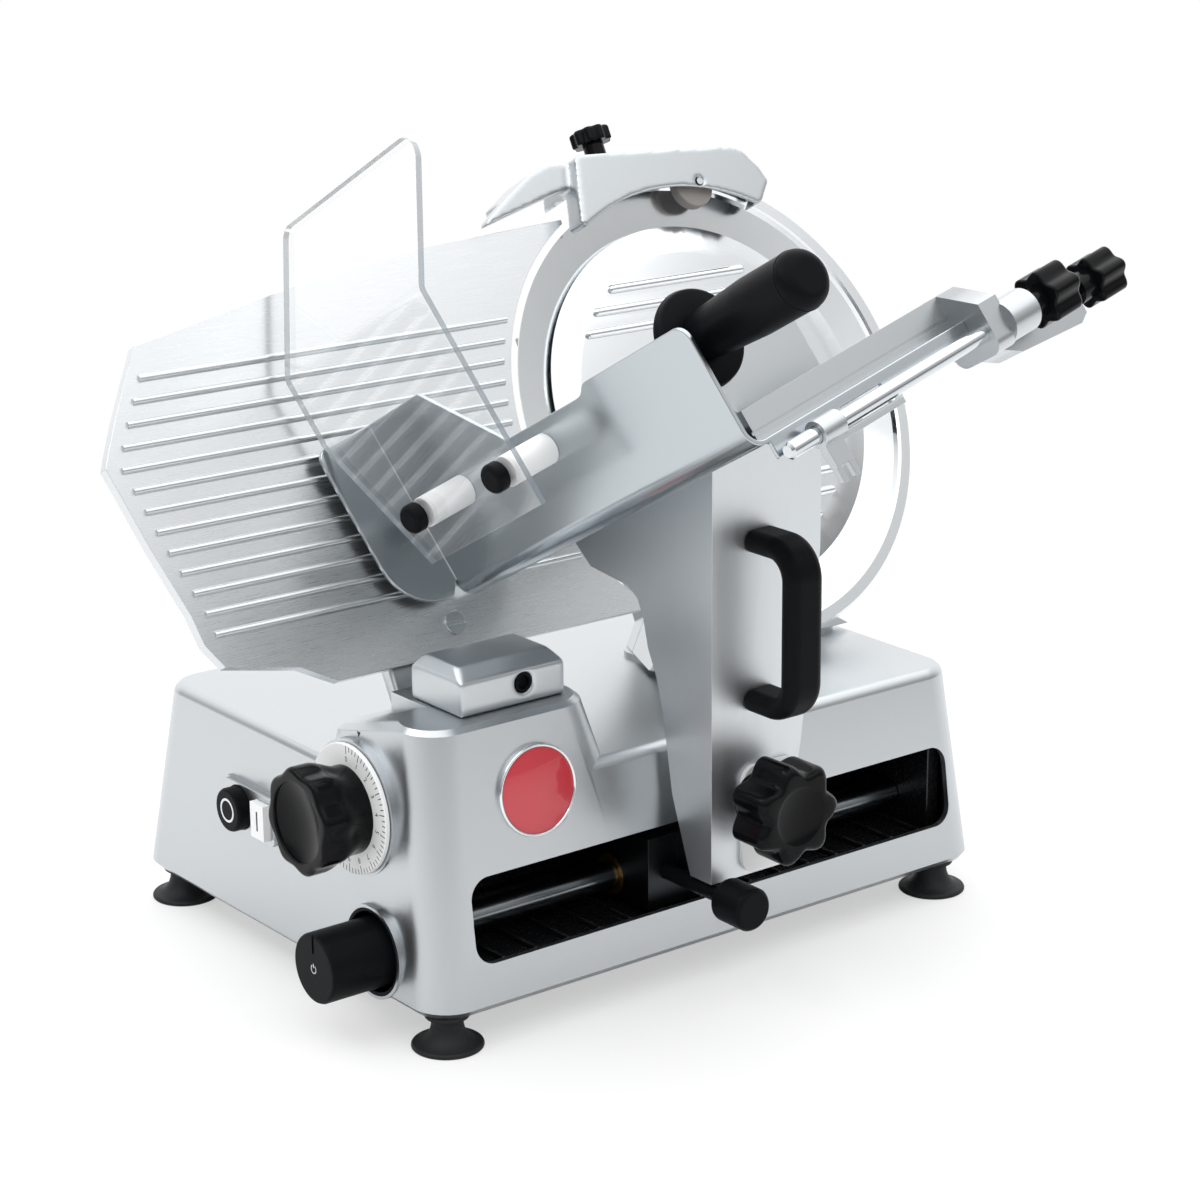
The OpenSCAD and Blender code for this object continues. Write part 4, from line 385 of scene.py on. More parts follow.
def cast_acrylic():
    """Cast acrylic sheet: clear faces that mirror more at a low angle, and polished edges painted grey as
    painted shade for the darkness refraction gives them.

    A face is a thin mirror that covers a share s + (1 - s) f^5, with f one less the view angle's cosine.
    """
    made, tree, shader = new_material("cast_acrylic")
    give_grain(tree, shader, spacing=30 * MM, roughness=(0.03, 0.06), depth=0.002 * MM)
    normal = add(tree, "ShaderNodeTexCoord").outputs["Normal"]
    leans = []
    for way in (BLADE_AXIS, TRAY_UP):
        lean = add(tree, "ShaderNodeVectorMath", {0: normal, 1: tuple(way)}, operation="DOT_PRODUCT")
        leans.append(add(tree, "ShaderNodeMath", {0: lean.outputs["Value"]}, operation="ABSOLUTE"))
    most = add(tree, "ShaderNodeMath", {0: leans[0], 1: leans[1]}, operation="MAXIMUM")
    edge = add(tree, "ShaderNodeMapRange",
               {"Value": most, "From Min": ACRYLIC_LEAN[0], "From Max": ACRYLIC_LEAN[1]})
    face = add(tree, "ShaderNodeMath", {0: 1.0, 1: edge}, operation="SUBTRACT")
    # Painted shade: the edges take a grey base colour for the darkness that refraction and inner reflection
    # give a clear sheet's edges
    mirror_white_and_edge_shade = add(tree, "ShaderNodeMix", {"Factor": edge, "A": linear("#FFFFFF"), "B": linear("#868F96")},
               data_type="RGBA")
    facing = add(tree, "ShaderNodeLayerWeight", {"Blend": 0.5}).outputs["Facing"]
    low = add(tree, "ShaderNodeMath", {0: facing, 1: 5.0}, operation="POWER")
    gloss = add(tree, "ShaderNodeMapRange", {"Value": low, "To Min": ACRYLIC_FACE})
    # The painted shade on the edges covers this share of the view
    rim = add(tree, "ShaderNodeMath", {0: edge, 1: ACRYLIC_EDGE_SHADE}, operation="MULTIPLY")
    cover = add(tree, "ShaderNodeMath", {0: gloss, 1: rim}, operation="MAXIMUM")
    tree.links.new(mirror_white_and_edge_shade.outputs["Result"], shader.inputs["Base Color"])
    tree.links.new(face.outputs[0], shader.inputs["Metallic"])
    tree.links.new(cover.outputs[0], shader.inputs["Alpha"])
    return made


def finish(make):
    """The material that a function makes, made once. None has the name of one of the model's own."""
    return bpy.data.materials.get(make.__name__) or make()


# Edges that turn more than this are drawn sharp or get rounded
SHARP = math.radians(32)
# Triangles of one flat face are joined before its edges are rounded
FLAT = math.radians(0.4)
# Corners closer than this are one corner
JOIN = 0.001 * MM
# Strips across a rounded edge
EDGE_STRIPS = 3
# Rounding of single pieces, as a multiple of their group's own
ARM_EDGE = 4.0
TRAY_EDGE = 1.6
LEG_EDGE = 2.4
BLADE_EDGE = 0.2
SMALL_EDGE = 0.5
GUARD_EDGE = 0.3
# Grid on which castings with cast fillets are redrawn, and the passes that relax each of them
FILLET_GRID = 1.0 * MM
BLOCK_PASSES = 32
HOOD_PASSES = 18
# What turns or slides in those castings is drawn thinner by this, so that the fillets touch nothing
RUNNING_GAP = 0.6 * MM


def smooth_group():
    """Node group that shades faces smooth and keeps edges past the sharp angle sharp."""
    made = bpy.data.node_groups.get("smooth_faces")
    if made:
        return made
    made = bpy.data.node_groups.new("smooth_faces", "GeometryNodeTree")
    made.is_modifier = True
    made.interface.new_socket("Geometry", in_out="INPUT", socket_type="NodeSocketGeometry")
    made.interface.new_socket("Geometry", in_out="OUTPUT", socket_type="NodeSocketGeometry")
    start = add(made, "NodeGroupInput")
    bare = add(made, "GeometryNodeRemoveAttribute", {0: start, "Name": "custom_normal"})
    soft = add(made, "GeometryNodeSetShadeSmooth", {0: bare, "Shade Smooth": True}, domain="FACE")
    angle = add(made, "GeometryNodeInputMeshEdgeAngle").outputs["Unsigned Angle"]
    sharp = add(made, "FunctionNodeCompare", {0: angle, 1: SHARP}, operation="GREATER_THAN")
    hard = add(made, "GeometryNodeSetShadeSmooth", {0: soft, "Selection": sharp, "Shade Smooth": False},
               domain="EDGE")
    add(made, "NodeGroupOutput", {0: hard})
    return made


def soften(node, edge):
    """Joins loose triangles, rounds the sharp edges by one width and shades the rest smooth."""
    node.modifiers.new("joined", "WELD").merge_threshold = JOIN
    flat = node.modifiers.new("flat_faces", "DECIMATE")
    flat.decimate_type = "DISSOLVE"
    flat.angle_limit = FLAT
    bevel = node.modifiers.new("rounded_edges", "BEVEL")
    bevel.width = edge
    bevel.segments = EDGE_STRIPS
    bevel.limit_method = "ANGLE"
    bevel.angle_limit = SHARP
    bevel.use_clamp_overlap = True
    node.modifiers.new("smooth_faces", "NODES").node_group = smooth_group()
    node.modifiers.new("flat_normals", "WEIGHTED_NORMAL").keep_sharp = True


def round_off(node, passes):
    """Redraws a casting on a fine grid and relaxes it in passes, so that its edges become cast fillets."""
    node.modifiers.new("joined", "WELD").merge_threshold = JOIN
    grid = node.modifiers.new("fine_grid", "REMESH")
    grid.mode = "VOXEL"
    grid.voxel_size = FILLET_GRID
    grid.use_smooth_shade = True
    node.modifiers.new("fillets", "SMOOTH").iterations = passes


def coat(name, make):
    """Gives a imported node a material; its mesh stays as it is."""
    node = NODES[name]
    node.data.materials.clear()
    node.data.materials.append(finish(make))
    return node


def dress(make, edge, *names):
    """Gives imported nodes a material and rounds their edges."""
    for name in names:
        soften(coat(name, make), edge)


def node_points(name):
    """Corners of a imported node, one row each."""
    mesh = NODES[name].data
    flat = np.empty(3 * len(mesh.vertices), np.float32)
    mesh.vertices.foreach_get("co", flat)
    return flat.reshape(-1, 3).astype(float)


def along_and_round(points, origin, axis):
    """Distance along an axis and distance from it, for each point."""
    reach = points - origin
    along = reach @ axis
    return along, np.linalg.norm(reach - np.outer(along, axis), axis=1)


def end_of(name, turn, origin=None):
    """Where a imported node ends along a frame's third axis, in line with origin or with its own middle."""
    local = node_points(name) @ turn
    place = (local.min(axis=0) + local.max(axis=0)) / 2 if origin is None else np.asarray(origin) @ turn
    return turn @ np.array([place[0], place[1], local[:, 2].max()])


def ramp(values, start, end):
    """Share from 0 at start to 1 at end, held at both."""
    return np.clip((values - start) / (end - start), 0, 1)


def round_angles(columns):
    """Angles of a grid's columns, once round."""
    return np.linspace(0, math.tau, columns, endpoint=False)[None, :]


def quarter(centre_r, centre_h, radius, start, end, steps=8):
    """Arc of a profile from one angle to another, in degrees."""
    angle = np.radians(np.linspace(start, end, steps))
    return np.column_stack([centre_r + radius * np.cos(angle), centre_h + radius * np.sin(angle)])


def skin(points):
    """Mesh over a grid of points whose rows close on themselves; a row of one place becomes a pole."""
    rows, columns = points.shape[:2]
    index = np.arange(rows * columns).reshape(rows, columns)
    beside = np.roll(index, -1, axis=1)
    faces = np.stack([index[:-1], beside[:-1], beside[1:], index[1:]], axis=-1).reshape(-1, 4)
    mesh = bpy.data.meshes.new("surface")
    mesh.from_pydata(points.reshape(-1, 3).tolist(), [], faces.tolist())
    tidy = bmesh.new()
    tidy.from_mesh(mesh)
    bmesh.ops.remove_doubles(tidy, verts=tidy.verts, dist=JOIN)
    bmesh.ops.recalc_face_normals(tidy, faces=tidy.faces)
    tidy.to_mesh(mesh)
    tidy.free()
    return mesh


def lathe(profile, origin, turn, columns=96, shrink=0.0):
    """Surface of revolution: radius and height pairs carried round the third axis of a frame.

    shrink is the share that the radius loses, one for all or one for each row and column.
    """
    radius, height = np.asarray(profile, float).T[:, :, None]
    angle = round_angles(columns)
    radius = radius * (1 - shrink)
    local = np.stack([radius * np.cos(angle), radius * np.sin(angle), height + 0 * angle], axis=-1)
    return skin(origin + local @ turn.T)


def fluted(profile, share, lobes, valley, origin, turn, phase=0.0, columns=224):
    """Turned surface with lobes: a wave takes up to valley times share off the radius between two lobes.

    The wave is half of one less the cosine of lobes times the angle. share runs from 0 to 1 along the
    profile, so that hubs and faces stay round while the rim waves.
    """
    wave = (1 - np.cos(lobes * (round_angles(columns) - phase))) / 2
    return lathe(profile, origin, turn, columns, valley * share[:, None] * wave)


def bars(centres, spans, turn, origin):
    """Many small blocks in one mesh, set round the third axis of a frame.

    A centre is an angle, a distance and a height. A span is the half lengths outwards, across and up.
    """
    corner = np.array([[x, y, z] for z in (-1, 1) for x, y in ((-1, -1), (1, -1), (1, 1), (-1, 1))], float)
    sides = np.array([[3, 2, 1, 0], [4, 5, 6, 7], [0, 1, 5, 4], [1, 2, 6, 5], [2, 3, 7, 6], [3, 0, 4, 7]])
    angle, reach, height = np.asarray(centres, float).T[:, :, None]
    local = corner[None] * np.asarray(spans, float)[:, None]
    along = reach + local[..., 0]
    x = along * np.cos(angle) - local[..., 1] * np.sin(angle)
    y = along * np.sin(angle) + local[..., 1] * np.cos(angle)
    points = origin + np.stack([x, y, height + local[..., 2]], axis=-1) @ turn.T
    faces = sides[None] + len(corner) * np.arange(len(points))[:, None, None]
    mesh = bpy.data.meshes.new("bars")
    mesh.from_pydata(points.reshape(-1, 3).tolist(), [], faces.reshape(-1, 4).tolist())
    return mesh


def numerals(count, step, reach, height, turn, origin):
    """Numbers from 0 to count in one mesh, one step apart round a disc, each upright towards the rim."""
    joined = bmesh.new()
    for number in range(count + 1):
        curve = bpy.data.curves.new("figure", "FONT")
        curve.body = str(number)
        curve.size = height / CAP_HEIGHT
        curve.align_x = "CENTER"
        curve.align_y = "CENTER"
        curve.extrude = PRINT / 2
        figure = bpy.data.objects.new("figure", curve)
        mesh = bpy.data.meshes.new_from_object(figure)
        bpy.data.objects.remove(figure)
        bpy.data.curves.remove(curve)
        angle = step * number
        up = turn @ np.array([math.cos(angle), math.sin(angle), 0.0])
        right = turn @ np.array([math.sin(angle), -math.cos(angle), 0.0])
        place = np.eye(4)
        place[:3, :3] = np.column_stack([right, up, turn[:, 2]])
        place[:3, 3] = origin + reach * up
        mesh.transform(Matrix(place.tolist()))
        joined.from_mesh(mesh)
        bpy.data.meshes.remove(mesh)
    made = bpy.data.meshes.new("numerals")
    joined.to_mesh(made)
    joined.free()
    return made


def piece(name, mesh, make, body, stands_for=(), smooth=True):
    """Puts a mesh into the scene as a piece that rides on a body."""
    mesh.name = name
    made = bpy.data.objects.new(name, mesh)
    bpy.context.scene.collection.objects.link(made)
    mesh.materials.append(finish(make))
    if smooth:
        made.modifiers.new("smooth_faces", "NODES").node_group = smooth_group()
    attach(made, body)
    if stands_for:
        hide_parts(*stands_for)


class SLICER_OT_castings(bpy.types.Operator):
    """Base, housings and gauge parts in anodised aluminium"""

    bl_idname = "slicer.castings"
    bl_label = "Castings"

    def execute(self, context):
        edge = sizes().edge
        dress(anodised_aluminium, edge, "base_pan", "base_cover", "drive_housing", "belt_cover",
              "front_rail", "slice_deflector", "pusher_plate", "rod_blocks", "switch_plate", "product_claw")
        round_off(coat("gauge_block", anodised_aluminium), BLOCK_PASSES)
        round_off(coat("sharpener_hood", anodised_aluminium), HOOD_PASSES)
        dress(anodised_aluminium, ARM_EDGE * edge, "gauge_arm")
        slim = NODES["gauge_arm"].modifiers.new("running_gap", "DISPLACE")
        slim.mid_level = 0.0
        slim.strength = -RUNNING_GAP
        dress(black_anodised, edge, "carriage_slider")
        dress(gauge_aluminium, edge, "gauge_plate")
        return {"FINISHED"}


class SLICER_OT_sheet(bpy.types.Operator):
    """Tray and leg in brushed stainless sheet"""

    bl_idname = "slicer.sheet_metal"
    bl_label = "Sheet metal"

    def execute(self, context):
        edge = sizes().sheet_edge
        dress(tray_stainless, TRAY_EDGE * edge, "product_tray")
        dress(leg_stainless, LEG_EDGE * edge, "carriage_leg")
        return {"FINISHED"}


class SLICER_OT_blade(bpy.types.Operator):
    """Blade, blade cover and ring guard with turning lines, and the polished bars"""

    bl_idname = "slicer.blade_set"
    bl_label = "Blade and bars"

    def execute(self, context):
        edge = sizes().sheet_edge
        dress(turned_stainless, BLADE_EDGE * edge, "blade")
        dress(turned_stainless, edge, "blade_cover")
        dress(turned_aluminium, edge, "ring_guard")
        dress(ground_steel, edge, "pusher_rod", "blade_shaft", "dial_shaft", "gauge_screw")
        # Guide rod and support rail take the steel darkened as painted shade of the slot
        dress(oiled_steel, edge, "guide_rod", "support_rail")
        return {"FINISHED"}


class SLICER_OT_plastics(bpy.types.Operator):
    """Moulded black and white pieces, rubber feet and the clear guard"""

    bl_idname = "slicer.plastics"
    bl_label = "Plastics and rubber"

    def execute(self, context):
        edge = sizes().moulded_edge
        dress(moulded_nylon, edge, "d_handle", "pusher_handle", "hand_guard", "selector_knob",
              "selector_cup", "coupling_pin", "guard_caps", "stop_button", "cord_gland", "block_plug")
        dress(glossy_phenolic, SMALL_EDGE * edge, "tie_rod")
        dress(white_acetal, SMALL_EDGE * edge, "dial_disc", "guard_standoffs", "clamp_plate",
              "start_button", "support_roller")
        dress(soft_rubber, edge, "suction_feet")
        dress(black_abs, edge, "chamber_liner")
        dress(cast_acrylic, GUARD_EDGE * edge, "guard_sheet")
        return {"FINISHED"}


# Broken edge of a stone
STONE_EDGE = 0.6 * MM


class SLICER_OT_inside(bpy.types.Operator):
    """Motor, belt drive, bearings, bushes and stones"""

    bl_idname = "slicer.inner_works"
    bl_label = "Inner works"

    def execute(self, context):
        edge = sizes().edge
        dress(painted_iron, edge, "motor", "motor_mount", "blade_pulley", "motor_pulley")
        dress(soft_rubber, SMALL_EDGE * edge, "drive_belt")
        dress(sintered_bronze, SMALL_EDGE * edge, "slider_bushes")
        dress(ground_steel, SMALL_EDGE * edge, "shaft_bearings")
        self.stone("grinding_stone", "stone_front")
        self.stone("deburring_stone", "stone_rear")
        return {"FINISHED"}

    def stone(self, node, body):
        """Stone wheel with broken edges, turned about its spindle, and the steel pin on one face."""
        centre = joint_point(body + "_spin")
        along, spread = along_and_round(node_points(node), centre, BLADE_AXIS)
        radius = spread.max()
        rim = radius - STONE_EDGE
        wheel = spread > radius / 2
        low, high, end = along[wheel].min(), along[wheel].max(), along.max()
        pin = spread[~wheel].max() - RUNNING_GAP
        profile = [(0, low), (rim, low), (radius, low + STONE_EDGE), (radius, high - STONE_EDGE),
                   (rim, high), (0, high)]
        mesh = lathe(profile, centre, TRAY_TURN)
        piece(node + "_wheel", mesh, abrasive_stone, body, [node])
        spindle = [(0, high), (pin, high), (pin, end), (0, end)]
        mesh = lathe(spindle, centre, TRAY_TURN, columns=48)
        piece(node + "_pin", mesh, ground_steel, body, [node])


# Thickness of printed marks, and how tall the built-in font's figures are for a size of one
PRINT = 0.06 * MM
CAP_HEIGHT = 0.73
# Dial: its span, its lines' inset, half lengths of numbered and short lines, and half their width
DIAL_SPAN = math.radians(300)
LINE_INSET = 0.5 * MM
LINE_HALVES = (2.6 * MM, 1.6 * MM)
LINE_HALF_WIDTH = 0.28 * MM
# Dial numbers: how far in from the lines' outer ends, and how tall
FIGURE_INSET = 8.4 * MM
FIGURE_HEIGHT = 3.6 * MM
# Index above the dial: its gap to the lines and its reach, and how far out the wall is looked for
INDEX_GAP = 5.5 * MM
INDEX_REACH = 2.2 * MM
INDEX_SEARCH = 0.1
# Signs on the buttons: depths below the face, the ring's radii, and half the bar's length and width
SIGN_LEVELS = (-0.5 * MM, -0.1 * MM)
STOP_RING = (6.25 * MM, 7.75 * MM)
START_BAR = (6.3 * MM, 0.75 * MM)
# Sign on the selector: radius of its open ring, half the angle of the gap, and the dashes that draw it
POWER_RADIUS = 2.5 * MM
POWER_GAP = math.radians(38)
POWER_DASHES = 24
POWER_DASH = (0.3 * MM, 0.32 * MM)
# Distance of the stroke in the gap from the middle, and half its length
POWER_STROKE = (2.2 * MM, 1.3 * MM)


class SLICER_OT_marks(bpy.types.Operator):
    """Dial graduation with its index, signs on the buttons and on the selector"""

    bl_idname = "slicer.marks"
    bl_label = "Marks"

    def execute(self, context):
        self.dial()
        self.buttons()
        self.selector()
        return {"FINISHED"}

    def dial(self):
        """Lines and numbers spread evenly over the dial's span, and a flat wedge on the wall above it."""
        face = end_of("dial_disc", LEFT_TURN, joint_point("dial_turn"))
        _, spread = along_and_round(node_points("dial_disc"), face, LEFT)
        rim = spread.max() - LINE_INSET
        per, count = sizes().ticks, sizes().divisions
        step = DIAL_SPAN / count
        number = np.arange(per * count + 1)
        half = np.where(number % per == 0, *LINE_HALVES)
        centres = np.column_stack([-number * step / per, rim - half, 0 * half])
        spans = np.column_stack([half, np.full_like(half, LINE_HALF_WIDTH), np.full_like(half, PRINT / 2)])
        lines = bars(centres, spans, LEFT_TURN, face)
        piece("dial_ticks", lines, black_print, "dial", smooth=False)
        figures = numerals(count, -step, rim - FIGURE_INSET, FIGURE_HEIGHT, LEFT_TURN, face)
        piece("dial_numbers", figures, black_print, "dial", smooth=False)
        start = Vector(face + (rim + INDEX_GAP) * UP + INDEX_SEARCH * LEFT)
        hit, place, normal, _ = NODES["base_cover"].ray_cast(start, Vector(RIGHT))
        if not hit:
            raise RuntimeError("no wall above the dial for its index")
        profile = [(0, -PRINT), (INDEX_REACH, -PRINT), (INDEX_REACH, PRINT), (0, PRINT)]
        wedge = lathe(profile, np.array(place), axes(normal, -UP), columns=3)
        piece("dial_index", wedge, black_print, "base", smooth=False)

    def buttons(self):
        """A turned ring let into the stop button and a straight bar let into the start button."""
        low, high = SIGN_LEVELS
        inner, outer = STOP_RING
        profile = [(inner, low), (outer, low), (outer, high), (inner, high), (inner, low)]
        ring = lathe(profile, end_of("stop_button", LEFT_TURN), LEFT_TURN)
        piece("stop_ring", ring, pale_print, "stop")
        centre, span = (0.0, 0.0, (low + high) / 2), (*START_BAR, (high - low) / 2)
        bar = bars([centre], [span], LEFT_TURN, end_of("start_button", LEFT_TURN))
        piece("start_bar", bar, black_print, "start", smooth=False)

    def selector(self):
        """Power sign: short dashes along an open ring, and one stroke in its gap."""
        face = end_of("selector_knob", LEFT_TURN, joint_point("selector_turn"))
        angle = np.linspace(POWER_GAP, math.tau - POWER_GAP, POWER_DASHES)
        ring = np.column_stack([angle, np.full_like(angle, POWER_RADIUS), 0 * angle])
        centres = np.vstack([ring, [(0.0, POWER_STROKE[0], 0.0)]])
        spans = np.full((len(centres), 3), (*POWER_DASH, PRINT / 2))
        spans[-1, 0] = POWER_STROKE[1]
        sign = bars(centres, spans, LEFT_TURN, face)
        piece("selector_sign", sign, pale_print, "selector", smooth=False)


# Badge: width of its rim, and as shares of its height the rim's side and the dome's start and rise
BADGE_RIM = 2.2 * MM
BADGE_ROUND = 0.55
DOME_START = 0.5
DOME_RISE = 0.48


class SLICER_OT_badge(bpy.types.Operator):
    """Plain round badge: a domed enamel disc in a bright rim"""

    bl_idname = "slicer.badge"
    bl_label = "Badge"

    def execute(self, context):
        """The rim is half a ring; the dome rises with one less the square of the share of its radius."""
        points = node_points("badge")
        lean = points[np.argmax(points @ UP)] - points[np.argmin(points @ UP)]
        lean[0] = 0.0
        turn = axes(np.cross(RIGHT, lean), RIGHT)
        wide, _, tall = np.ptp(points @ turn, axis=0)
        seat = end_of("badge", turn) - tall * turn[:, 2]
        radius = wide / 2
        inner, half = radius - BADGE_RIM, BADGE_RIM / 2
        rim = np.vstack([[(inner, 0.0), (radius, 0.0)],
                         quarter(inner + half, BADGE_ROUND * tall, half, 0, 180, steps=12), [(inner, 0.0)]])
        mesh = lathe(rim, seat, turn, columns=144)
        piece("badge_rim", mesh, bright_trim, "base", ["badge"])
        share = np.linspace(1, 0, 24)
        dome = np.column_stack([inner * share, tall * (DOME_START + DOME_RISE * (1 - share ** 2))])
        mesh = lathe(np.vstack([[(0.0, 0.0), (inner, 0.0)], dome]), seat, turn, columns=144)
        piece("badge_dome", mesh, stoved_enamel, "base", ["badge"])
        return {"FINISHED"}


# Star grips: thickness, length and radius of the hub; radius and length of the stud
LARGE_GRIP = (30 * MM, 12 * MM, 16 * MM)
SMALL_GRIP = (24 * MM, 12 * MM, 9.5 * MM)
STAR_STUD = (6 * MM, 21.3 * MM)
CLAMP_STUD = (4 * MM, 30 * MM)
CROSS_STUD = (5 * MM, 1.7 * MM)
# Shares of a star grip's radius: depth of its valleys, rounding under and over, recess at its lip and floor
STAR_VALLEY = 0.2
STAR_UNDER = 0.1
STAR_OVER = 0.2
STAR_LIP = 0.58
STAR_FLOOR = 0.46
# Depth of the recess, and width and depth of its broken lip
STAR_SINK = 1.8 * MM
STAR_BROKEN = (0.4 * MM, 0.1 * MM)
# Cross rod: bevel of its free end, and how far from the tip its grip covers it
CROSS_BEVEL = 1.5 * MM
CROSS_COVERED = 35 * MM
# Dial knob: lobes, angle of one lobe, and as shares of the rim's radius the valleys, waist and face
DIAL_LOBES = 8
DIAL_PHASE = math.radians(56.5)
DIAL_VALLEY = 0.08
DIAL_WAIST = 0.82
DIAL_FACE = 0.74
# Shares of the dial knob's length: start and length of its flare, and the stretch where valleys deepen
DIAL_START = 0.1
DIAL_FLARE = 0.55
DIAL_FADE = 0.3
# Rounding of the dial knob's rim and of the lip inside it, and the drop to the dish and its depth
DIAL_OVER = 3.2 * MM
DIAL_LIP = 1.2 * MM
DIAL_DROP = 1.8 * MM
DIAL_DISH = 4.4 * MM
# Place below the tip and thickness of the fine ring on the pusher's handle
HANDLE_RING = (-9 * MM, 0.35 * MM)
# Sharpener knob: height of its head, radii of its stem and neck, and how far the neck lies below the tip
SHARP_HEAD = 10 * MM
SHARP_STEM = 4.4 * MM
SHARP_NECK = (7 * MM, 25 * MM)
# Scallops of its head, and as shares of its radius their depth, the rounding and where they fade
SHARP_LOBES = 9
SHARP_VALLEY = 0.14
SHARP_UNDER = 0.1
SHARP_OVER = 0.16
SHARP_FADE = (0.6, 0.8)


class SLICER_OT_grips(bpy.types.Operator):
    """Pressed star grips and the fluted dial knob, and the steel cross rod"""

    bl_idname = "slicer.grips"
    bl_label = "Grips"

    def execute(self, context):
        self.star("star_knob", "star", "star_turn", FRONT_TURN, 7, LARGE_GRIP, STAR_STUD)
        self.star("clamp_knob", "clamp", "clamp_turn", TRAY_END_TURN, 6, SMALL_GRIP, CLAMP_STUD)
        self.star("cross_rod", "claw", "claw_swing", TRAY_END_TURN, 6, SMALL_GRIP, CROSS_STUD)
        self.cross_rod()
        self.dial_knob()
        self.handle_ring()
        self.sharpener_knob()
        return {"FINISHED"}

    def star(self, node, body, joint, turn, lobes, grip, stud):
        """Star grip: a round hub on a stud, lobes with rounded rims, a shallow round recess in the face."""
        thick, hub, hub_r = grip
        stud_r, stud_len = stud
        top = hub + thick
        base = end_of(node, turn, joint_point(joint)) - top * turn[:, 2]
        _, spread = along_and_round(node_points(node), base, turn[:, 2])
        radius = spread.max()
        under, over, lip = STAR_UNDER * radius, STAR_OVER * radius, STAR_LIP * radius
        stem = [(0, -stud_len), (stud_r, -stud_len), (stud_r, 0), (hub_r, 0), (hub_r, hub)]
        profile = np.vstack([
            stem, quarter(radius - under, hub + under, under, -90, 0),
            quarter(radius - over, top - over, over, 0, 90, steps=12),
            [(lip, top), (lip - STAR_BROKEN[0], top - STAR_BROKEN[1]),
             (STAR_FLOOR * radius, top - STAR_SINK), (0, top - STAR_SINK)]])
        share = ramp(profile[:, 0], lip, radius - over)
        share[:len(stem)] = 0
        mesh = fluted(profile, share, lobes, STAR_VALLEY, base, turn)
        piece(node + "_grip", mesh, glossy_phenolic, body, [node])

    def cross_rod(self):
        """Round bar with one bevelled end, up to the grip that covers its other end."""
        tip = end_of("cross_rod", TRAY_END_TURN, joint_point("claw_swing"))
        along = node_points("cross_rod") @ TRAY_ALONG
        length = along.max() - along.min()
        radius, end = CROSS_STUD[0], length - CROSS_COVERED
        rod = [(0, 0), (radius - CROSS_BEVEL, 0), (radius, CROSS_BEVEL), (radius, end), (0, end)]
        mesh = lathe(rod, tip - length * TRAY_ALONG, TRAY_END_TURN, columns=64)
        piece("cross_bar", mesh, ground_steel, "claw", ["cross_rod"])

    def dial_knob(self):
        """Dial knob: a waist that flares smoothly to a scalloped rim round a dished face.

        The flare follows 3 t^2 - 2 t^3 up the knob, and the dish deepens with one less its radius squared.
        """
        tip = end_of("dial_knob", LEFT_TURN, joint_point("dial_turn"))
        along, spread = along_and_round(node_points("dial_knob"), tip, LEFT)
        radius, length = spread.max(), -along.min()
        inner, start = DIAL_FACE * radius, DIAL_START * length
        dish = np.linspace(1, 0, 16)
        climb = np.linspace(0, 1, 10)
        flare = radius * (DIAL_WAIST + (1 - DIAL_WAIST) * climb ** 2 * (3 - 2 * climb))
        profile = np.vstack([
            [(0, 0), (flare[0], 0)], np.column_stack([flare, start + DIAL_FLARE * length * climb]),
            quarter(radius - DIAL_OVER, length - DIAL_OVER, DIAL_OVER, 0, 90, steps=12),
            quarter(inner + DIAL_LIP, length - DIAL_LIP, DIAL_LIP, 90, 150, steps=6),
            np.column_stack([inner * dish, length - DIAL_DROP - DIAL_DISH * (1 - dish ** 2)])])
        share = ramp(profile[:, 1], start, start + DIAL_FADE * length)
        share *= ramp(profile[:, 0], inner, radius - DIAL_OVER)
        base = tip - length * LEFT
        mesh = fluted(profile, share, DIAL_LOBES, DIAL_VALLEY, base, LEFT_TURN, DIAL_PHASE)
        piece("dial_grip", mesh, glossy_phenolic, "dial", ["dial_knob"])

    def handle_ring(self):
        """Fine round ring about the pusher's handle: a small circle carried round the handle's axis."""
        tip = end_of("pusher_handle", TRAY_TURN)
        _, spread = along_and_round(node_points("pusher_handle"), tip, BLADE_AXIS)
        ring = quarter(spread.max(), *HANDLE_RING, 0, 360, steps=13)
        mesh = lathe(ring, tip, TRAY_TURN)
        piece("handle_ring", mesh, glossy_phenolic, "pusher")

    def sharpener_knob(self):
        """Sharpener knob: a scalloped head with rounded rims on a narrow neck and a stem."""
        tip = end_of("sharpener_knob", HOOD_TURN, joint_point("sharp_knob_turn"))
        along, spread = along_and_round(node_points("sharpener_knob"), tip, BLADE_UP)
        radius, low = spread.max(), along.min()
        under, over = SHARP_UNDER * radius, SHARP_OVER * radius
        fade, full = SHARP_FADE[0] * radius, SHARP_FADE[1] * radius
        neck_r, neck = SHARP_NECK
        stem = [(0, low), (SHARP_STEM, low), (SHARP_STEM, -neck), (neck_r, -neck), (neck_r, -SHARP_HEAD)]
        profile = np.vstack([
            stem, quarter(radius - under, under - SHARP_HEAD, under, -90, 0),
            quarter(radius - over, -over, over, 0, 90, steps=12), [(fade, 0), (0, 0)]])
        share = ramp(profile[:, 0], fade, full)
        share[:len(stem)] = 0
        mesh = fluted(profile, share, SHARP_LOBES, SHARP_VALLEY, tip, HOOD_TURN)
        piece("sharpener_grip", mesh, glossy_phenolic, "sharp_knob", ["sharpener_knob"])


# Camera of the reference view, solved on the machine's corners
CAMERA_PLACE = Vector((-1.14535, -1.45680, 0.77800))
CAMERA_AZIMUTH = math.radians(-37.66)
CAMERA_ELEVATION = math.radians(16.78)
CAMERA_ROLL = math.radians(-0.48)
CAMERA_LENS_MM = 93.477
CAMERA_REACH = 100.0
SENSOR_MM = 36.0

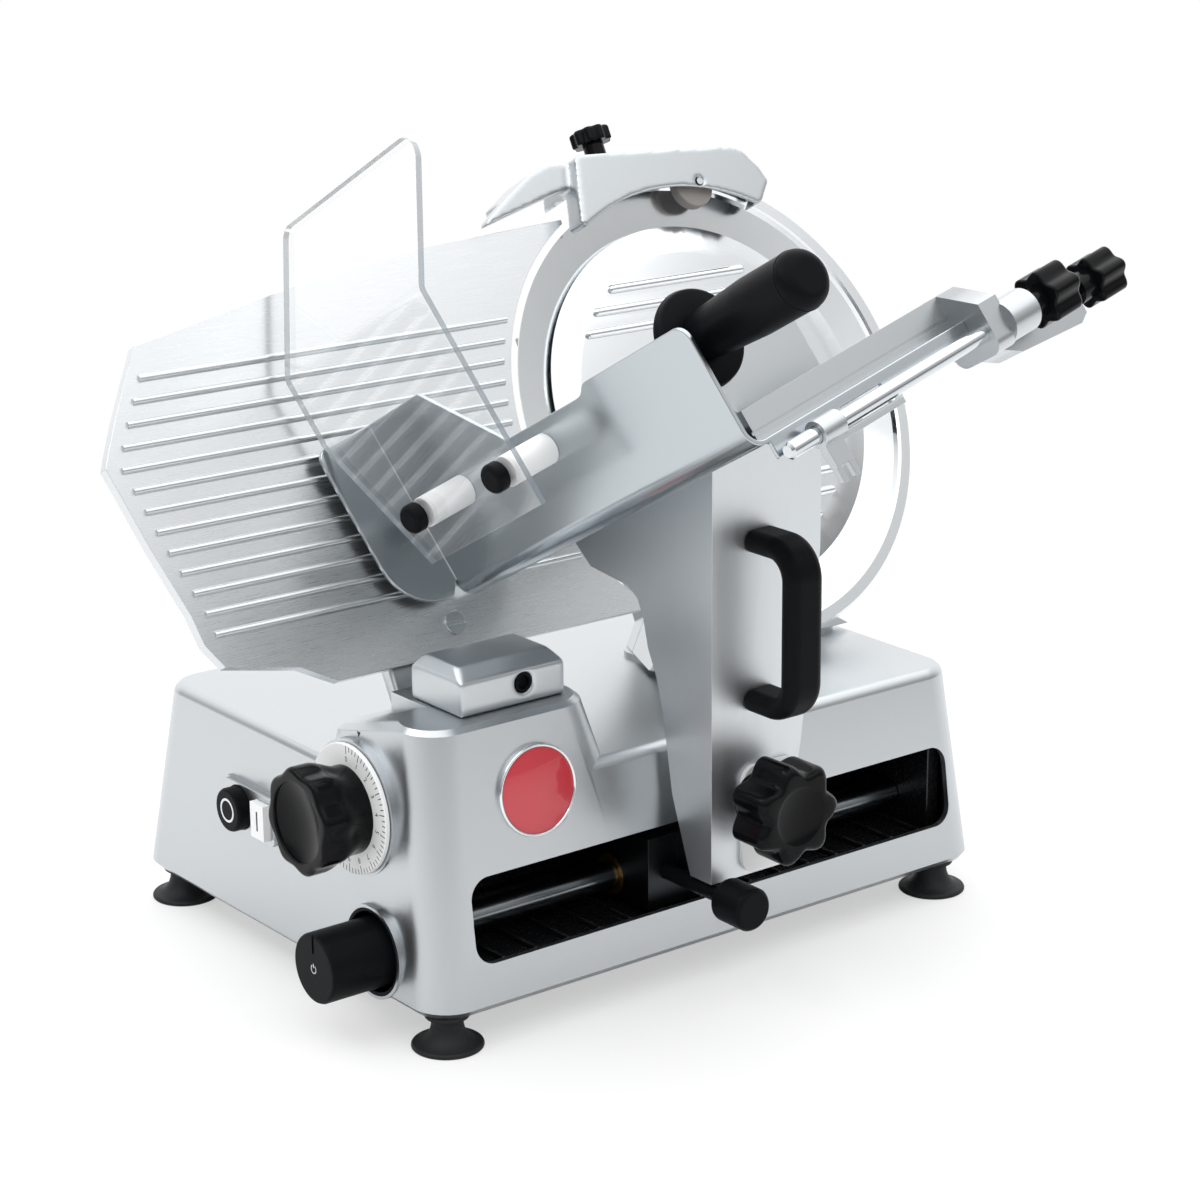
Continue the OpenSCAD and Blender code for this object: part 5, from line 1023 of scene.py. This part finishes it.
# Pale floor: its side, grey level, roughness, and share of plain white close to the machine
FLOOR_SIDE = 24.0
FLOOR_LEVEL = 0.86
FLOOR_ROUGHNESS = 0.9
FLOOR_SHARE = 0.5
# Distances from the middle between which the floor fades to plain white
FADE = (0.42, 0.75)
# A wide soft box overhead
LAMP_SIDE = 5.0
LAMP_HEIGHT = 2.6
LAMP_POWER = 78.0
# A strip light high on the left draws the highlights on glossy pieces
STRIP_SIZE = (1.6, 0.25)
STRIP_PLACE = Vector((-1.3, 0.3, 1.7))
STRIP_POWER = 5.0
# Light of the room at the horizon and overhead, and how far up it stops growing
ROOM_LOW = 0.2
ROOM_HIGH = 0.95
ROOM_TOP = 0.55
# White backdrop behind the machine: its light, where it lies and how it begins
BACKDROP = 1.4
BACKDROP_WAY = (0.61, 0.79, 0.0)
BACKDROP_SPAN = (0.1, 0.75)


def level(value):
    """Plain grey as RGBA."""
    return (value, value, value, 1.0)


def seen_straight(tree):
    """1 for what the camera sees directly or straight through clear sheet, 0 for light and reflections."""
    path = add(tree, "ShaderNodeLightPath").outputs
    depths = {0: path["Glossy Depth"], 1: path["Diffuse Depth"]}
    mirrored = add(tree, "ShaderNodeMath", depths, operation="ADD")
    plain = add(tree, "ShaderNodeMath", {0: mirrored, 1: 0.5}, operation="LESS_THAN")
    through = add(tree, "ShaderNodeMath", {0: path["Is Transmission Ray"], 1: plain}, operation="MULTIPLY")
    return add(tree, "ShaderNodeMath", {0: path["Is Camera Ray"], 1: through}, operation="MAXIMUM")


class SLICER_OT_stage(bpy.types.Operator):
    """Camera, floor, soft light and surroundings"""

    bl_idname = "slicer.stage"
    bl_label = "Stage"

    def execute(self, context):
        scene = context.scene
        scene.view_settings.view_transform = "Standard"
        self.camera(scene)
        self.floor(scene)
        self.lamps(scene)
        self.surroundings(scene)
        return {"FINISHED"}

    def camera(self, scene):
        """Camera of the reference view."""
        lens = bpy.data.cameras.new("camera")
        lens.sensor_width = SENSOR_MM
        lens.lens = CAMERA_LENS_MM
        lens.clip_end = CAMERA_REACH
        made = bpy.data.objects.new("camera", lens)
        scene.collection.objects.link(made)
        flat = math.cos(CAMERA_ELEVATION)
        back = Vector((math.sin(CAMERA_AZIMUTH) * flat, -math.cos(CAMERA_AZIMUTH) * flat,
                       math.sin(CAMERA_ELEVATION)))
        turn = back.to_track_quat("Z", "Y").to_matrix() @ Matrix.Rotation(CAMERA_ROLL, 3, "Z")
        made.matrix_world = Matrix.Translation(CAMERA_PLACE) @ turn.to_4x4()
        scene.camera = made

    def floor(self, scene):
        """Pale floor that keeps the machine's shadow and fades to white away from it."""
        half = FLOOR_SIDE / 2
        mesh = bpy.data.meshes.new("floor")
        corners = [(-half, -half, 0), (half, -half, 0), (half, half, 0), (-half, half, 0)]
        mesh.from_pydata(corners, [], [(0, 1, 2, 3)])
        made = bpy.data.objects.new("floor", mesh)
        scene.collection.objects.link(made)
        paint, tree, shader = new_material("studio_floor", Base_Color=level(FLOOR_LEVEL),
                                           Roughness=FLOOR_ROUGHNESS)
        place = add(tree, "ShaderNodeTexCoord").outputs["Object"]
        reach = add(tree, "ShaderNodeVectorMath", {0: place}, operation="LENGTH").outputs["Value"]
        fade = add(tree, "ShaderNodeMapRange", {
            "Value": reach, "From Min": FADE[0], "From Max": FADE[1], "To Min": FLOOR_SHARE, "To Max": 1.0},
            interpolation_type="SMOOTHSTEP")
        share = add(tree, "ShaderNodeMath", {0: seen_straight(tree), 1: fade}, operation="MULTIPLY")
        glow = add(tree, "ShaderNodeEmission", {"Color": level(1.0), "Strength": 1.0})
        mix = add(tree, "ShaderNodeMixShader", {0: share, 1: shader, 2: glow})
        output = next(node for node in tree.nodes if node.type == "OUTPUT_MATERIAL")
        tree.links.new(mix.outputs[0], output.inputs["Surface"])
        mesh.materials.append(paint)

    def lamps(self, scene):
        """Soft box and strip light, turned to the middle of the floor and hidden from the camera."""
        overhead = Vector((0.0, 0.0, LAMP_HEIGHT))
        for name, size, place, power in (("soft_box", (LAMP_SIDE, LAMP_SIDE), overhead, LAMP_POWER),
                                         ("strip_light", STRIP_SIZE, STRIP_PLACE, STRIP_POWER)):
            light = bpy.data.lights.new(name, "AREA")
            light.shape = "RECTANGLE"
            light.size, light.size_y = size
            light.energy = power
            made = bpy.data.objects.new(name, light)
            turn = place.to_track_quat("Z", "Y").to_matrix()
            made.matrix_world = Matrix.Translation(place) @ turn.to_4x4()
            made.visible_camera = False
            scene.collection.objects.link(made)

    def surroundings(self, scene):
        """Room that grows lighter upwards, with a white backdrop behind the machine, for reflections."""
        world = bpy.data.worlds.new("studio")
        world.use_nodes = True
        scene.world = world
        tree = world.node_tree
        tree.nodes.clear()
        way = add(tree, "ShaderNodeTexCoord").outputs["Generated"]
        height = add(tree, "ShaderNodeSeparateXYZ", {0: way}).outputs["Z"]
        room = add(tree, "ShaderNodeMapRange", {
            "Value": height, "From Max": ROOM_TOP, "To Min": ROOM_LOW, "To Max": ROOM_HIGH})
        ahead = add(tree, "ShaderNodeVectorMath", {0: way, 1: BACKDROP_WAY}, operation="DOT_PRODUCT")
        share = add(tree, "ShaderNodeMapRange", {
            "Value": ahead.outputs["Value"], "From Min": BACKDROP_SPAN[0], "From Max": BACKDROP_SPAN[1]},
            interpolation_type="SMOOTHSTEP")
        shade = add(tree, "ShaderNodeMix", {"Factor": share, "A": room, "B": BACKDROP})
        around = add(tree, "ShaderNodeBackground", {"Color": level(1.0), "Strength": shade})
        white = add(tree, "ShaderNodeBackground", {"Color": level(1.0), "Strength": 1.0})
        mix = add(tree, "ShaderNodeMixShader", {0: seen_straight(tree), 1: around, 2: white})
        add(tree, "ShaderNodeOutputWorld", {"Surface": mix})


class SLICER_PT_panel(bpy.types.Panel):
    """Lists the steps that dress the slicer"""

    bl_label = "Food slicer"
    bl_idname = "SLICER_PT_panel"
    bl_space_type = "VIEW_3D"
    bl_region_type = "UI"
    bl_category = "Slicer"

    def draw(self, context):
        for step in STEPS:
            self.layout.operator(step.bl_idname)
        for kind, group in ((SlicerSizes, sizes()), (SlicerColours, colours())):
            box = self.layout.box()
            for name in kind.__annotations__:
                box.prop(group, name)


STEPS = (SLICER_OT_stage, SLICER_OT_castings, SLICER_OT_sheet, SLICER_OT_blade, SLICER_OT_plastics,
         SLICER_OT_inside, SLICER_OT_marks, SLICER_OT_badge, SLICER_OT_grips)
CLASSES = (SlicerSizes, SlicerColours, *STEPS, SLICER_PT_panel)


def register():
    """Registers the classes and hangs the settings on the scene."""
    for kind in CLASSES:
        bpy.utils.register_class(kind)
    bpy.types.Scene.slicer_sizes = bpy.props.PointerProperty(type=SlicerSizes)
    bpy.types.Scene.slicer_colours = bpy.props.PointerProperty(type=SlicerColours)


def unregister():
    """Takes the settings and the classes away again."""
    del bpy.types.Scene.slicer_colours
    del bpy.types.Scene.slicer_sizes
    for kind in reversed(CLASSES):
        bpy.utils.unregister_class(kind)


def main():
    """Runs every step in order."""
    register()
    for step in STEPS:
        group, name = step.bl_idname.split(".")
        getattr(getattr(bpy.ops, group), name)()


if __name__ == "__main__":
    main()
